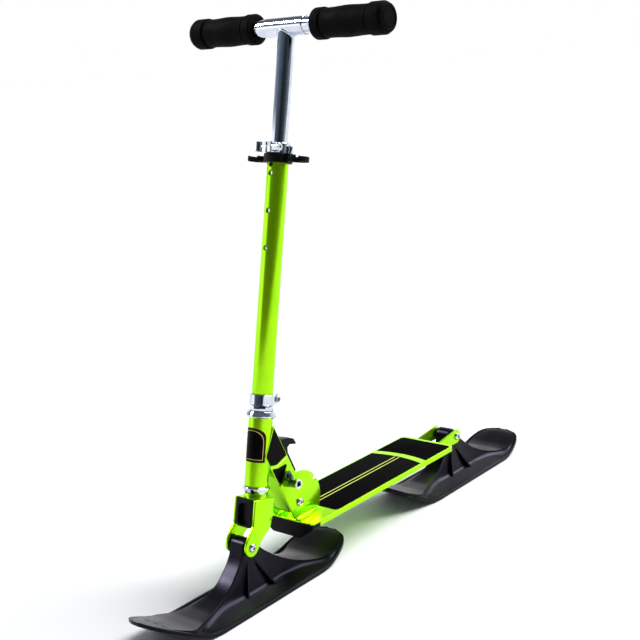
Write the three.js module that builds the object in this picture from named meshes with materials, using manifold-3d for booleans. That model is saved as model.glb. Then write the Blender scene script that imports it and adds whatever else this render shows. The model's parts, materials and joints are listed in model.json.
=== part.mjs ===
// Snow scooter: a folding kick scooter that glides on two short skis.
// Millimetres, +Z up. It travels towards -Y, and +X is the rider's left.
// Side outlines are drawn as (y, z) from the front ski pivot's foot on the snow.

import * as THREE from 'three';
import { mergeVertices } from 'three/addons/utils/BufferGeometryUtils.js';
import Module from 'manifold-3d';

const wasm = await Module();
wasm.setup();

const degree = Math.PI / 180;

// Fits shared by the whole scooter
const gap = 0.3; // between pieces that seat or turn on one another
const overrun = 4; // how far a cutter runs past the face it opens
const roundSteps = 24;
const boltSteps = 16;
const cornerSteps = 3;

// Layout of the frame
const wheelbase = 556; // from ski pivot to ski pivot
const pivotHeight = 82;
const columnLean = 12.5 * degree;
const crownBack = 37.5; // the fork crown's top centre
const crownHeight = 145.2;

const axleBolt = { radius: 4, headRadius: 6.4, headHeight: 3.4, nutHeight: 5.2 };
const domeShares = { radius: 0.7, height: 0.85 }; // of a bolt's head, at the edge of its crown

const ski = {
  noseReach: 215,
  tailReach: 207,
  halfWidth: 53,
  noseRise: 50,
  tailRise: 24,
  rimHeight: 6.5,
  rimWidth: 4.5,
  rimShare: 0.25, // the rim takes no more than this share of a narrow tip
  plate: 4.4,
  chamfer: 1.4,
  crease: 15, // height of the plate at the tower's foot
  kneeShare: 0.566, // where a cheek stops leaning, between its foot and its top
  topHalf: 13,
  footHalf: 20.5,
  footSpread: 4.5, // from the edge of the raised strip to its foot
  crownRadius: 12.5,
  boreRadius: 6,
  bushWall: 1.4,
  ribThick: 3,
};

// Sections from nose to tower and from tower to tail. Each is a share of the reach, then shares of the half
// width, the rise, the strip's half width, the pivot height above the underside, and the crease above it.
const noseShares = [
  [1, 0.132, 1, 0.2, 0.067, 0.3],
  [0.967, 0.415, 0.92, 1.23, 0.071, 0.3],
  [0.907, 0.623, 0.776, 2.15, 0.077, 0.31],
  [0.828, 0.764, 0.59, 2.73, 0.085, 0.32],
  [0.758, 0.858, 0.43, 3.08, 0.102, 0.34],
  [0.688, 0.906, 0.266, 3.27, 0.129, 0.37],
  [0.623, 0.943, 0.13, 2.88, 0.178, 0.47],
  [0.549, 0.977, 0.032, 2.31, 0.212, 0.6],
  [0.456, 1, 0, 1.88, 0.232, 0.8],
  [0.363, 1, 0, 1.48, 0.273, 0.93],
  [0.279, 1, 0, 1.22, 0.339, 1],
  [0.205, 1, 0, 1.08, 0.457, 1],
  [0.149, 1, 0, 1.02, 0.604, 1],
  [0.093, 1, 0, 1, 0.774, 1],
  [0.0632, 1, 0, 1, 0.927, 1],
];
const tailShares = [
  [0.07, 1, 0, 1, 1.006, 1],
  [0.135, 1, 0, 1, 0.841, 1],
  [0.222, 1, 0, 1.08, 0.656, 1],
  [0.338, 1, 0, 1.29, 0.456, 0.97],
  [0.459, 1, 0, 1.63, 0.3, 0.87],
  [0.57, 1, 0.01, 2.19, 0.207, 0.67],
  [0.657, 0.996, 0.108, 2.81, 0.151, 0.47],
  [0.734, 0.974, 0.3, 3.27, 0.117, 0.37],
  [0.812, 0.921, 0.55, 3.29, 0.095, 0.34],
  [0.889, 0.821, 0.775, 2.91, 0.083, 0.32],
  [0.952, 0.623, 0.925, 2.15, 0.076, 0.3],
  [1, 0.151, 1, 0.23, 0.067, 0.3],
];
const crownAngles = [165, 128, 90, 52, 18].map((angle) => angle * degree);
// Gussets on the tower's cheeks: top and foot as shares of the pivot height, and how far out the foot stands
const ribShares = [
  { top: [-0.04, 0.76], foot: [-0.3, 0.1], out: 0.55 },
  { top: [0.1, 0.74], foot: [0.45, 0.1], out: 0.58 },
];

const fork = {
  half: 21,
  plate: 4,
  crownPlate: 5,
  front: 23, // from the steering axis to the front face
  back: 18.5,
  shoulderDrop: 37, // where the blades begin to sweep forward
  eyeRadius: 14,
  kneeDrop: 45,
  steererRadius: 13.8,
  steererBore: 11,
  steererTop: 190,
  raceRadius: 17,
  raceHeight: 6.5,
};
// Points of a blade's outline: the knee and heel in eye radii, the eye's end in half turns, the back in shares
const bladeShares = { knee: 0.75, heel: 0.8, eyeEnd: 1.87, back: 0.75, backDrop: 0.6 };
const bumpStop = { drop: 43, depth: 15, toe: 3.7, round: 8, recessHalf: 10.5, recessHigh: 15, recessDepth: 7 };

const headset = {
  lowerStart: 6.8,
  lowerRadius: 21,
  upperHeight: 9.6,
  upperRadius: 23,
  flange: 3.4,
  taper: 3,
  insertLength: 9,
  nutHeight: 8,
  nutRadius: 18,
};
const headTube = { start: 17.5, end: 120, radius: 18, bore: 15.5 };

const neck = { half: 18.5, depth: 19.5, wall: 2.5, lean: 25 * degree, rearRise: 108.7, frontRise: 62.4 };
const foldPivot = { back: 111.4, height: 113.9, boltRadius: 4, headRadius: 6.6, headHeight: 3.6, sleeveWall: 3 };

const sector = {
  inner: 19,
  plate: 3,
  arcRadius: 49.5,
  frontBottomAhead: 15,
  frontTopAhead: 41.5,
  frontTopHigh: 39.6,
  horn: 50.4,
  hornTip: 9,
  hornSlope: 0.3, // fall of the horn's top edge, in tips
  footWidth: 7,
  footPlate: 2.5,
  frontRise: 5.5,
  arcEnd: 76 * degree,
  notchHalf: 5.6,
  notchReach: 42.8, // from the fold pivot to the notch's round end
  nickAngle: 35 * degree,
  nickRadius: 4.4,
  nickReach: 47.5,
};

const lock = {
  pivotReach: 57.4, // from the fold pivot, beyond the sector's rim
  boltRadius: 3,
  headRadius: 5,
  headHeight: 2.8,
  linkPlate: 2.5,
  linkRadius: 7.6,
  sleeveRadius: 7,
  sleeveBore: 4.5,
  sleeveLength: 11,
  nutRadius: 7.6,
  nutLength: 2.6,
};
const lever = {
  half: 8,
  headHalf: 12.5,
  boss: 8,
  proud: 11, // how far the arm stands out of the neck
  low: 36,
  waist: 73,
  headStart: 85,
  top: 104,
  hookReach: 53,
  hookDrop: 71,
  hookThick: 6,
  round: 3,
};

const deck = {
  front: 100,
  toPivot: 58, // from the rear edge to the rear ski pivot
  drop: 25.9, // from the fold pivot down to the deck
  half: 54.5,
  frontRound: 6,
  rearRound: 10,
  sheet: 2.5,
  flange: 8.5,
  ribAt: 22,
  ribWidth: 3,
};
const deckTop = foldPivot.height - deck.drop;
const deckRear = wheelbase - deck.toPivot;
const gripPad = { half: 52, front: 162.5, round: 8, frontLength: 233, gap: 16, sag: 16, margin: 7, thick: 0.6 };
const bumper = { front: 99.5, depth: 18.5, drop: 28, bottomHalf: 28, shoulderDrop: 9, round: 5 };
const rearArm = { outer: 24, plate: 3, overlap: 28, rootDrop: 15, eyeRadius: 12.5, washerRadius: 9 };
const armEyeEnd = 0.53; // half turns from level to where the arm's edges meet its eye

const lowerTube = { start: 141, end: 524, radius: 15.9, bore: 14.1, holeRadius: 4 };
const tubeHoles = { low: 370.9, middle: 425.5, high: 480.3, top: 492.9 };
const pinch = { start: 138.8, height: 16, radius: 19, earHalf: 8, earReach: 28, slot: 1.6, boltBack: 23.2 };
const pinchBolt = { radius: 2.6, headRadius: 4.6, headHeight: 4.6 };

const clip = {
  start: 495.6,
  height: 13.3,
  collarRadius: 21.5,
  jawAt: 39.5,
  jawBore: 13,
  jawRadius: 15.5,
  jawRise: 2, // from the collar's foot to the arms and jaws
  jawHeight: 8,
  mouthHalf: 9,
  arm: 8,
  screwAt: 22.8,
  screwRadius: 3.75,
  screwHeight: 11,
  bossHalf: 6.5,
};
const release = {
  height: 15.7,
  radius: 18.6,
  earHalf: 9,
  earReach: 27.5,
  slot: 1.6,
  rodAhead: 22,
  rodRadius: 3,
  nutRadius: 6,
  nutLength: 12.5,
  socketRadius: 2.6,
  socketDepth: 4,
  barrelAt: 19.5,
  barrelRadius: 6.5,
  barrelHeight: 15,
  leverHeight: 9,
  leverThick: 3.4,
  leverTip: 1.6,
  leverClear: 2.6,
  leverEnd: 150 * degree,
};

const stem = { belowButton: 15.9, top: 693.7, radius: 12.7, bore: 10.7, bushStart: 488 };
const crossTube = { half: 37, radius: 14.3 };
const handle = { inner: 3.5, outer: 172, radius: 12.7, bore: 10.7, buttonAt: 52 };
const grip = {
  inner: 58,
  outer: 183,
  flange: 15,
  flangeRadius: 22.7,
  groove: 3,
  grooveRadius: 20,
  barrel: 77,
  barrelRadius: 22.2,
  ring: 20,
  ringRadius: 23,
  edge: 2,
};
const button = { radius: 3.4, proud: 1.1, depth: 4.8, flangeRadius: 4.6, flange: 1.4 };

const colour = {
  lime: new THREE.MeshStandardMaterial({ color: 0x9ee61a, roughness: 0.18, metalness: 0.55 }),
  darkLime: new THREE.MeshStandardMaterial({ color: 0x2f6b00, roughness: 0.3, metalness: 0.5 }),
  chrome: new THREE.MeshStandardMaterial({ color: 0xd9dce2, roughness: 0.07, metalness: 1 }),
  steel: new THREE.MeshStandardMaterial({ color: 0x9a9da3, roughness: 0.3, metalness: 1 }),
  blackSteel: new THREE.MeshStandardMaterial({ color: 0x1c1d20, roughness: 0.35, metalness: 0.8 }),
  skiPlastic: new THREE.MeshStandardMaterial({ color: 0x1d1c22, roughness: 0.35, metalness: 0 }),
  blackPlastic: new THREE.MeshStandardMaterial({ color: 0x141416, roughness: 0.5, metalness: 0 }),
  gripRubber: new THREE.MeshStandardMaterial({ color: 0x0b0b0c, roughness: 0.85, metalness: 0 }),
  gritPad: new THREE.MeshStandardMaterial({ color: 0x101012, roughness: 0.9, metalness: 0 }),
};

// Solids and booleans

function solidOf(geometry) {
  const bare = geometry.clone();
  bare.deleteAttribute('normal');
  bare.deleteAttribute('uv');
  const merged = mergeVertices(bare);
  const corners = merged.index.array;
  const kept = [];
  for (let i = 0; i < corners.length; i += 3) {
    const [a, b, c] = [corners[i], corners[i + 1], corners[i + 2]];
    if (a !== b && b !== c && c !== a) kept.push(a, b, c);
  }
  return new wasm.Manifold(new wasm.Mesh({
    numProp: 3,
    vertProperties: Float32Array.from(merged.attributes.position.array),
    triVerts: Uint32Array.from(kept),
  }));
}

function geometryOf(solid) {
  const mesh = solid.getMesh();
  const geometry = new THREE.BufferGeometry();
  geometry.setAttribute('position', new THREE.BufferAttribute(mesh.vertProperties, 3));
  geometry.setIndex(new THREE.BufferAttribute(mesh.triVerts, 1));
  geometry.computeVertexNormals();
  return geometry;
}

function join(...geometries) {
  return geometryOf(geometries.map(solidOf).reduce((sum, next) => sum.add(next)));
}

function cut(base, ...cutters) {
  return geometryOf(cutters.map(solidOf).reduce((rest, next) => rest.subtract(next), solidOf(base)));
}

function common(first, second) {
  return geometryOf(solidOf(first).intersect(solidOf(second)));
}

// Outlines

const at = (across, up) => new THREE.Vector2(across, up);

function arc(centre, radius, from, to, steps) {
  return Array.from({ length: steps + 1 }, (_, i) => {
    const angle = from + ((to - from) * i) / steps;
    return at(centre.x + radius * Math.cos(angle), centre.y + radius * Math.sin(angle));
  });
}

// Corners are [across, up, rounding]; a rounding takes at most half of the shorter side beside it.
function rounded(corners) {
  return corners.flatMap(([across, up, rounding], i) => {
    const here = at(across, up);
    if (!rounding) return [here];
    const before = at(...corners.at(i - 1)).sub(here);
    const after = at(...corners[(i + 1) % corners.length]).sub(here);
    const halfAngle = Math.acos(before.dot(after) / before.length() / after.length()) / 2;
    const reach = Math.min(rounding / Math.tan(halfAngle), before.length() / 2, after.length() / 2);
    const start = here.clone().add(before.setLength(reach));
    const end = here.clone().add(after.setLength(reach));
    return new THREE.QuadraticBezierCurve(start, here, end).getPoints(cornerSteps);
  });
}

const axisX = new THREE.Vector3(1, 0, 0);
const axisY = new THREE.Vector3(0, 1, 0);
const axisZ = new THREE.Vector3(0, 0, 1);

function extruded(outline, length) {
  return new THREE.ExtrudeGeometry(new THREE.Shape(outline), { depth: length, bevelEnabled: false });
}

// An outline in (y, z) extruded along X
function acrossX(outline, from, to) {
  const turn = new THREE.Matrix4().makeBasis(axisY, axisZ, axisX);
  return extruded(outline, to - from).applyMatrix4(turn).translate(from, 0, 0);
}

// An outline in (x, z) extruded along Y
function alongY(outline, from, to) {
  const turn = new THREE.Matrix4().makeBasis(axisX, axisZ, axisY.clone().negate());
  return extruded(outline, to - from).applyMatrix4(turn).translate(0, to, 0);
}

// An outline in (x, y) extruded along Z
function upZ(outline, from, to) {
  return extruded(outline, to - from).translate(0, 0, from);
}

// Corners are [radius, height] round the Z axis
function turned(profile, steps = roundSteps) {
  return new THREE.LatheGeometry(profile.map(([radius, height]) => at(radius, height)), steps)
    .rotateX(Math.PI / 2);
}

function rod(radius, from, to, steps = roundSteps) {
  return turned([[0, from], [radius, from], [radius, to], [0, to]], steps);
}

function ring(radius, bore, from, to, steps = roundSteps) {
  return turned([[bore, from], [radius, from], [radius, to], [bore, to], [bore, from]], steps);
}

const turnToX = (geometry) => geometry.rotateY(Math.PI / 2);
const turnToFront = (geometry) => geometry.rotateX(Math.PI / 2);

function rodX(radius, from, to, y, z, steps = boltSteps) {
  return turnToX(rod(radius, from, to, steps)).translate(0, y, z);
}

function ringX(radius, bore, from, to, y, z, steps = boltSteps) {
  return turnToX(ring(radius, bore, from, to, steps)).translate(0, y, z);
}

function mirrored(outline) {
  return [...outline, ...outline.map((point) => at(-point.x, point.y)).reverse()];
}

// Assembly

const scooter = new THREE.Group();
scooter.position.y = -(wheelbase + ski.tailReach - ski.noseReach) / 2;

// Everything that stands on the steering axis is drawn with Z up that axis and Y square to it.
const column = new THREE.Group();
column.position.set(0, crownBack, crownHeight);
column.rotation.x = -columnLean;
scooter.add(column);

function piece(name, geometry, material, parent = scooter) {
  const mesh = new THREE.Mesh(geometry, material);
  mesh.name = name;
  parent.add(mesh);
  return mesh;
}

function toColumn(y, z) {
  return at(y - crownBack, z - crownHeight).rotateAround(at(0, 0), columnLean);
}

const skiPivot = toColumn(0, pivotHeight);

// A place on the neck: along its centre line from the fold pivot, and behind that line
function onNeck(behind, along) {
  return at(foldPivot.back, foldPivot.height).add(at(behind, along).rotateAround(at(0, 0), neck.lean));
}

// How far along the neck a line beside its centre meets a height on the steering axis
function alongNeck(behind, rise) {
  const start = onNeck(behind, 0);
  const next = onNeck(behind, 1);
  const startRise = toColumn(start.x, start.y).y;
  return (rise - startRise) / (toColumn(next.x, next.y).y - startRise);
}

// Skis

function skiSection(y, half, under, strip, top, crease) {
  const rim = Math.min(ski.rimWidth, half * ski.rimShare);
  const foot = Math.min(Math.max(ski.footHalf, strip + ski.footSpread), half - rim - ski.chamfer);
  const edge = Math.min(strip, foot - ski.chamfer / 2);
  const rightHalf = [
    at(half - ski.chamfer, under),
    at(half, under + ski.chamfer),
    at(half, under + ski.rimHeight),
    at(half - rim, under + ski.rimHeight),
    at(half - rim - ski.chamfer / 2, under + ski.plate),
    at(foot, crease),
    at(edge, crease + (top - crease) * ski.kneeShare),
    at(edge, top),
  ];
  return mirrored(rightHalf).map((point) => new THREE.Vector3(point.x, y, point.y));
}

function sharedSection([along, width, rise, strip, top, crease], reach, fullRise) {
  const under = fullRise * rise;
  return skiSection(reach * along, ski.halfWidth * width, under, ski.topHalf * strip,
    under + pivotHeight * top, under + ski.crease * crease);
}

function lofted(sections) {
  const count = sections[0].length;
  const positions = sections.flat().flatMap((point) => point.toArray());
  const faces = [];
  for (let i = 0; i + 1 < sections.length; i += 1) {
    for (let j = 0; j < count; j += 1) {
      const k = (j + 1) % count;
      const [a, b, c, d] = [i * count + j, i * count + k, (i + 1) * count + k, (i + 1) * count + j];
      faces.push(a, d, b, b, d, c);
    }
  }
  const flat = sections[0].map((point) => at(point.x, point.z));
  const last = (sections.length - 1) * count;
  THREE.ShapeUtils.triangulateShape(flat, []).forEach(([a, b, c]) => {
    faces.push(a, b, c, last + c, last + b, last + a);
  });
  const geometry = new THREE.BufferGeometry();
  geometry.setAttribute('position', new THREE.Float32BufferAttribute(positions, 3));
  geometry.setIndex(faces);
  return geometry;
}

function skiRib(side, rib) {
  const top = at(...rib.top).multiplyScalar(pivotHeight);
  const foot = at(...rib.foot).multiplyScalar(pivotHeight);
  const across = foot.clone().sub(top).rotateAround(at(0, 0), Math.PI / 2).setLength(ski.ribThick / 2);
  const face = (shift) => {
    const corners = [
      [ski.topHalf / 2, top], [ski.topHalf - gap, top], [ski.halfWidth * rib.out, foot], [ski.topHalf / 2, foot],
    ].map(([x, point]) => new THREE.Vector3(side * x, point.x + shift * across.x, point.y + shift * across.y));
    return side > 0 ? corners.reverse() : corners;
  };
  return lofted([face(-1), face(1)]);
}

function skiBody() {
  const nose = noseShares.map((row) => sharedSection(row, -ski.noseReach, ski.noseRise));
  const crown = crownAngles.map((angle) => skiSection(ski.crownRadius * Math.cos(angle), ski.halfWidth, 0,
    ski.topHalf, pivotHeight + ski.crownRadius * Math.sin(angle), ski.crease));
  const tail = tailShares.map((row) => sharedSection(row, ski.tailReach, ski.tailRise));
  const ribs = ribShares.flatMap((rib) => [skiRib(1, rib), skiRib(-1, rib)]);
  const bore = rodX(ski.boreRadius, -ski.footHalf, ski.footHalf, 0, pivotHeight);
  return cut(join(lofted([...nose, ...crown, ...tail]), ...ribs), bore);
}

const skiShape = skiBody();

function skiBush() {
  const radius = ski.boreRadius - gap;
  return ringX(radius, radius - ski.bushWall, -ski.topHalf, ski.topHalf, 0, pivotHeight);
}

// A bolt along X with a domed head on the left and a hexagonal nut on the right
function axleX(radius, reach, headRadius, headHeight, y, z) {
  const dome = [[0, reach], [headRadius, reach], [headRadius, reach + headHeight / 3],
    [headRadius * domeShares.radius, reach + headHeight * domeShares.height], [0, reach + headHeight]];
  const head = turnToX(turned(dome, boltSteps)).translate(0, y, z);
  return join(head, rodX(radius, -reach - headHeight, reach + headHeight / 2, y, z));
}

function nutX(bore, radius, height, reach, y, z) {
  return cut(rodX(radius, -reach - height, -reach, y, z, 6),
    rodX(bore, -reach - height - overrun, -reach + overrun, y, z));
}

function skiFittings(name, place, plateInner, plateOuter, washerRadius) {
  const group = new THREE.Group();
  group.position.y = place;
  scooter.add(group);
  const reach = plateOuter + gap;
  piece(`${name}_ski`, skiShape, colour.skiPlastic, group);
  piece(`${name}_ski_bush`, skiBush(), colour.steel, group);
  piece(`${name}_ski_bolt`,
    axleX(axleBolt.radius, reach, axleBolt.headRadius, axleBolt.headHeight, 0, pivotHeight),
    colour.chrome, group);
  piece(`${name}_ski_nut`,
    nutX(axleBolt.radius + gap, axleBolt.headRadius, axleBolt.nutHeight, reach, 0, pivotHeight),
    colour.steel, group);
  const washer = [ski.topHalf + gap, plateInner - gap];
  piece(`left_${name}_ski_washer`,
    ringX(washerRadius, axleBolt.radius + gap, washer[0], washer[1], 0, pivotHeight),
    colour.blackPlastic, group);
  piece(`right_${name}_ski_washer`,
    ringX(washerRadius, axleBolt.radius + gap, -washer[1], -washer[0], 0, pivotHeight),
    colour.blackPlastic, group);
}

// Fork, bump stop and headset

function forkPlate() {
  const eye = skiPivot;
  const knee = eye.y + fork.eyeRadius * bladeShares.knee;
  return [
    at(-fork.front, 0),
    at(-fork.front, -fork.shoulderDrop),
    ...new THREE.QuadraticBezierCurve(
      at(-fork.front, -fork.shoulderDrop),
      at(eye.x - fork.eyeRadius, knee),
      at(eye.x - fork.eyeRadius, eye.y),
    ).getPoints(4).slice(1),
    ...arc(eye, fork.eyeRadius, Math.PI, Math.PI * bladeShares.eyeEnd, 8).slice(1),
    at(0, eye.y + fork.eyeRadius * bladeShares.heel),
    at(fork.back * bladeShares.back, -fork.kneeDrop),
    at(fork.back, -fork.kneeDrop * bladeShares.backDrop),
    at(fork.back, 0),
  ];
}

function forkBody() {
  const outline = forkPlate();
  const inner = fork.half - fork.plate;
  const crownFront = bumpStop.toe + gap - fork.front;
  const bore = rodX(axleBolt.radius + gap, -fork.half - overrun, fork.half + overrun, skiPivot.x, skiPivot.y);
  const crown = acrossX([
    at(crownFront, -fork.crownPlate), at(fork.back, -fork.crownPlate), at(fork.back, 0), at(crownFront, 0),
  ], -inner - fork.plate / 2, inner + fork.plate / 2);
  const steerer = turned([
    [fork.steererBore, 0], [fork.steererBore, fork.steererTop], [fork.steererRadius, fork.steererTop],
    [fork.steererRadius, fork.raceHeight], [fork.raceRadius, fork.raceHeight],
    [fork.raceRadius, -fork.crownPlate / 2], [0, -fork.crownPlate / 2], [0, 0], [fork.steererBore, 0],
  ].reverse());
  return cut(join(
    acrossX(outline, inner, fork.half),
    acrossX(outline, -fork.half, -inner),
    crown,
    steerer,
  ), bore);
}

function bumpStopBody() {
  const inner = fork.half - fork.plate - gap;
  const underCrown = -fork.crownPlate - gap;
  const side = acrossX([
    at(-fork.front, -bumpStop.drop), at(bumpStop.depth - fork.front, -bumpStop.drop),
    at(bumpStop.depth - fork.front, underCrown), at(bumpStop.toe - fork.front, underCrown),
    at(bumpStop.toe - fork.front, 0), at(-fork.front, 0),
  ], -inner, inner);
  const front = rounded([
    [-inner, -bumpStop.drop, bumpStop.round], [inner, -bumpStop.drop, bumpStop.round],
    [inner, 0, 0], [-inner, 0, 0],
  ]);
  const middle = -(bumpStop.drop + fork.crownPlate) / 2;
  const oval = arc(at(0, 0), 1, 0, Math.PI * 2, 20).slice(1)
    .map((point) => at(point.x * bumpStop.recessHalf, middle + point.y * bumpStop.recessHigh));
  const recess = alongY(oval, -fork.front - overrun, bumpStop.recessDepth - fork.front);
  return cut(common(side, alongY(front, -fork.front - overrun, fork.back)), recess);
}

function cup(seat, away, height, radius, skirt) {
  const bore = fork.steererRadius + gap;
  const insert = headTube.bore - gap;
  const far = seat + away * height;
  const profile = [
    [bore, seat - away * headset.insertLength], [insert, seat - away * headset.insertLength],
    [insert, seat], [radius - skirt, seat], [radius, seat + (away * headset.flange) / 2],
    [radius, seat + away * headset.flange], [radius - headset.taper, far], [bore, far],
    [bore, seat - away * headset.insertLength],
  ];
  return turned(away > 0 ? profile : profile.reverse());
}

// Neck and hinge

function neckFrame() {
  const end = arc(at(0, 0), neck.depth, Math.PI, Math.PI * 2, 10);
  const rearEnd = alongNeck(neck.depth, neck.rearRise);
  const side = [at(neck.depth, rearEnd), at(-neck.depth, alongNeck(-neck.depth, neck.frontRise)), ...end];
  const inside = neck.depth - neck.wall;
  const channel = [
    at(-inside, -neck.depth - overrun), at(neck.depth + overrun, -neck.depth - overrun),
    at(neck.depth + overrun, rearEnd + overrun), at(-inside, rearEnd + overrun),
  ];
  const onSide = (outline) => outline.map((point) => onNeck(point.x, point.y));
  const wallAt = neck.half - neck.wall;
  const shell = cut(acrossX(onSide(side), -neck.half, neck.half), acrossX(onSide(channel), -wallAt, wallAt));
  const placeOnAxis = (geometry) => geometry.rotateX(-columnLean).translate(0, crownBack, crownHeight);
  const tube = placeOnAxis(rod(headTube.radius, headTube.start, headTube.end));
  const bore = placeOnAxis(rod(headTube.bore, headTube.start - overrun, headTube.end + overrun));
  const lockEye = onNeck(0, lock.pivotReach);
  return cut(join(shell, tube), bore,
    rodX(foldPivot.boltRadius + gap, -neck.half - overrun, neck.half + overrun, foldPivot.back, foldPivot.height),
    rodX(lock.boltRadius + gap, -neck.half - overrun, neck.half + overrun, lockEye.x, lockEye.y));
}

function sectorPlate(side) {
  const pivot = at(foldPivot.back, foldPivot.height);
  const near = (back, high) => at(pivot.x + back, pivot.y + high);
  const start = Math.asin((deckTop + sector.footPlate - pivot.y) / sector.arcRadius);
  const rear = arc(pivot, sector.arcRadius, start, sector.arcEnd, 12);
  const outline = [
    near(sector.arcRadius * Math.cos(start), deckTop - pivot.y),
    ...rear,
    near(-sector.hornTip, sector.horn),
    near(-sector.hornTip * 3, sector.horn - sector.hornTip * sector.hornSlope),
    near(-sector.frontTopAhead, sector.frontTopHigh),
    near(-sector.frontBottomAhead, deckTop + sector.frontRise - pivot.y),
    near(-foldPivot.back + deck.front, deckTop - pivot.y),
  ];
  const inner = sector.inner;
  const outer = inner + sector.plate;
  const foot = [
    at(deck.front, deckTop), at(pivot.x + sector.arcRadius * Math.cos(start), deckTop),
    at(pivot.x + sector.arcRadius * Math.cos(start), deckTop + sector.footPlate),
    at(deck.front, deckTop + sector.footPlate),
  ];
  const notch = [
    ...arc(at(0, sector.notchReach), sector.notchHalf, Math.PI, Math.PI * 2, 8),
    at(sector.notchHalf, sector.horn + overrun), at(-sector.notchHalf, sector.horn + overrun),
  ].map((point) => onNeck(point.x, point.y));
  const nick = at(pivot.x + sector.nickReach * Math.cos(sector.nickAngle),
    pivot.y + sector.nickReach * Math.sin(sector.nickAngle));
  const span = (from, to) => (side > 0 ? [from, to] : [-to, -from]);
  return cut(join(
    acrossX(outline, ...span(inner, outer)),
    acrossX(foot, ...span(outer - sector.plate / 2, outer + sector.footWidth)),
  ),
  acrossX(notch, ...span(inner - overrun / 2, outer + overrun)),
  rodX(sector.nickRadius, ...span(inner - overrun / 2, outer + overrun), nick.x, nick.y),
  rodX(foldPivot.boltRadius + gap, ...span(inner - overrun / 2, outer + overrun), pivot.x, pivot.y));
}

function lockLever() {
  const back = neck.depth + lever.proud;
  const arm = rounded([
    [0, lock.pivotReach - lever.boss, lever.boss / 2],
    [neck.depth, lever.low, lever.round],
    [back, lever.low, lever.round],
    [back, lever.waist, 0],
    [back + lever.proud / 2, lever.headStart, 0],
    [lever.hookReach - lever.hookThick, lever.waist + lever.hookThick / 2, 0],
    [lever.hookReach, lever.hookDrop, 0],
    [lever.hookReach - lever.hookThick / 6, lever.hookDrop + lever.hookThick * 2, lever.round],
    [back + lever.hookThick, lever.top - lever.hookThick, lever.round],
    [back - lever.round, lever.top, lever.round],
    [neck.depth + lever.round, lever.top - lever.round, lever.round],
    [neck.depth + lever.round, lever.waist, 0],
    [0, lock.pivotReach + lever.boss, lever.boss / 2],
    [-lever.boss, lock.pivotReach, lever.boss / 2],
  ]).map((point) => onNeck(point.x, point.y));
  const head = rounded([
    [neck.depth + lever.round, lever.headStart, 0],
    [back + lever.proud / 2, lever.headStart, lever.round],
    [back + lever.hookThick, lever.top - lever.hookThick, lever.round],
    [back - lever.round, lever.top, lever.round],
    [neck.depth + lever.round, lever.top - lever.round, lever.round],
  ]).map((point) => onNeck(point.x, point.y));
  const eye = onNeck(0, lock.pivotReach);
  return cut(join(acrossX(arm, -lever.half, lever.half), acrossX(head, -lever.headHalf, lever.headHalf)),
    rodX(lock.boltRadius + gap, -lever.half - overrun, lever.half + overrun, eye.x, eye.y));
}

function lockLink(side) {
  const top = at(0, lock.pivotReach);
  const low = at(0, sector.notchReach);
  const outline = [
    ...arc(top, lock.linkRadius, 0, Math.PI, 8),
    ...arc(low, lock.linkRadius, Math.PI, Math.PI * 2, 8),
  ].map((point) => onNeck(point.x, point.y));
  const inner = sector.inner + sector.plate + gap;
  const eye = onNeck(0, lock.pivotReach);
  const span = side > 0 ? [inner, inner + lock.linkPlate] : [-inner - lock.linkPlate, -inner];
  return cut(acrossX(outline, ...span),
    rodX(lock.boltRadius + gap, span[0] - overrun, span[1] + overrun, eye.x, eye.y));
}

function lockParts() {
  const face = sector.inner + sector.plate + gap + lock.linkPlate + gap;
  const eye = onNeck(0, lock.pivotReach);
  const pin = onNeck(0, sector.notchReach);
  piece('lock_lever', lockLever(), colour.blackPlastic);
  piece('lock_pivot_bolt', join(
    rodX(lock.boltRadius, -face - lock.headHeight / 2, face + lock.headHeight / 2, eye.x, eye.y),
    rodX(lock.headRadius, face, face + lock.headHeight, eye.x, eye.y),
    rodX(lock.headRadius, -face - lock.headHeight, -face, eye.x, eye.y),
  ), colour.blackSteel);
  piece('left_lock_link', lockLink(1), colour.darkLime);
  piece('right_lock_link', lockLink(-1), colour.darkLime);
  const end = face + lock.sleeveLength;
  piece('left_lock_sleeve', ringX(lock.sleeveRadius, lock.sleeveBore, face, end, pin.x, pin.y), colour.darkLime);
  piece('lock_ring_nut',
    ringX(lock.nutRadius, lock.sleeveBore, end + gap, end + gap + lock.nutLength, pin.x, pin.y),
    colour.chrome);
  piece('right_lock_sleeve',
    ringX(lock.sleeveRadius, lock.sleeveBore, -face - lock.sleeveLength / 2, -face, pin.x, pin.y),
    colour.darkLime);
}

// Deck

function deckPlan(inset, rearInset) {
  const half = deck.half - inset;
  return rounded([
    [half, deck.front + inset, deck.frontRound],
    [half, deckRear + rearInset, deck.rearRound],
    [-half, deckRear + rearInset, deck.rearRound],
    [-half, deck.front + inset, deck.frontRound],
  ]);
}

function box(x0, x1, y0, y1, z0, z1) {
  return upZ([at(x0, y0), at(x1, y0), at(x1, y1), at(x0, y1)], z0, z1);
}

function deckBody() {
  const bottom = deckTop - deck.flange;
  const under = deckTop - deck.sheet;
  const plate = upZ(deckPlan(0, 0), bottom, deckTop);
  const hollow = upZ(deckPlan(deck.sheet, overrun), bottom - overrun, under);
  const front = box(-deck.half - overrun, deck.half + overrun, deck.front - overrun,
    bumper.front + bumper.depth + gap, bottom - overrun, under);
  const ribs = [-1, 1].map((side) => {
    const from = side * deck.ribAt - deck.ribWidth / 2;
    return box(from, from + deck.ribWidth, bumper.front + bumper.depth + gap, deckRear - rearArm.overlap, bottom,
      deckTop - deck.sheet / 2);
  });
  return join(cut(plate, hollow, front), ...ribs);
}

// A curved edge across the deck that bows rearwards in the middle
function gripPadEdge(y) {
  const { half, sag } = gripPad;
  return new THREE.QuadraticBezierCurve(at(half, y), at(0, y + sag), at(-half, y)).getPoints(10);
}

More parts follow.
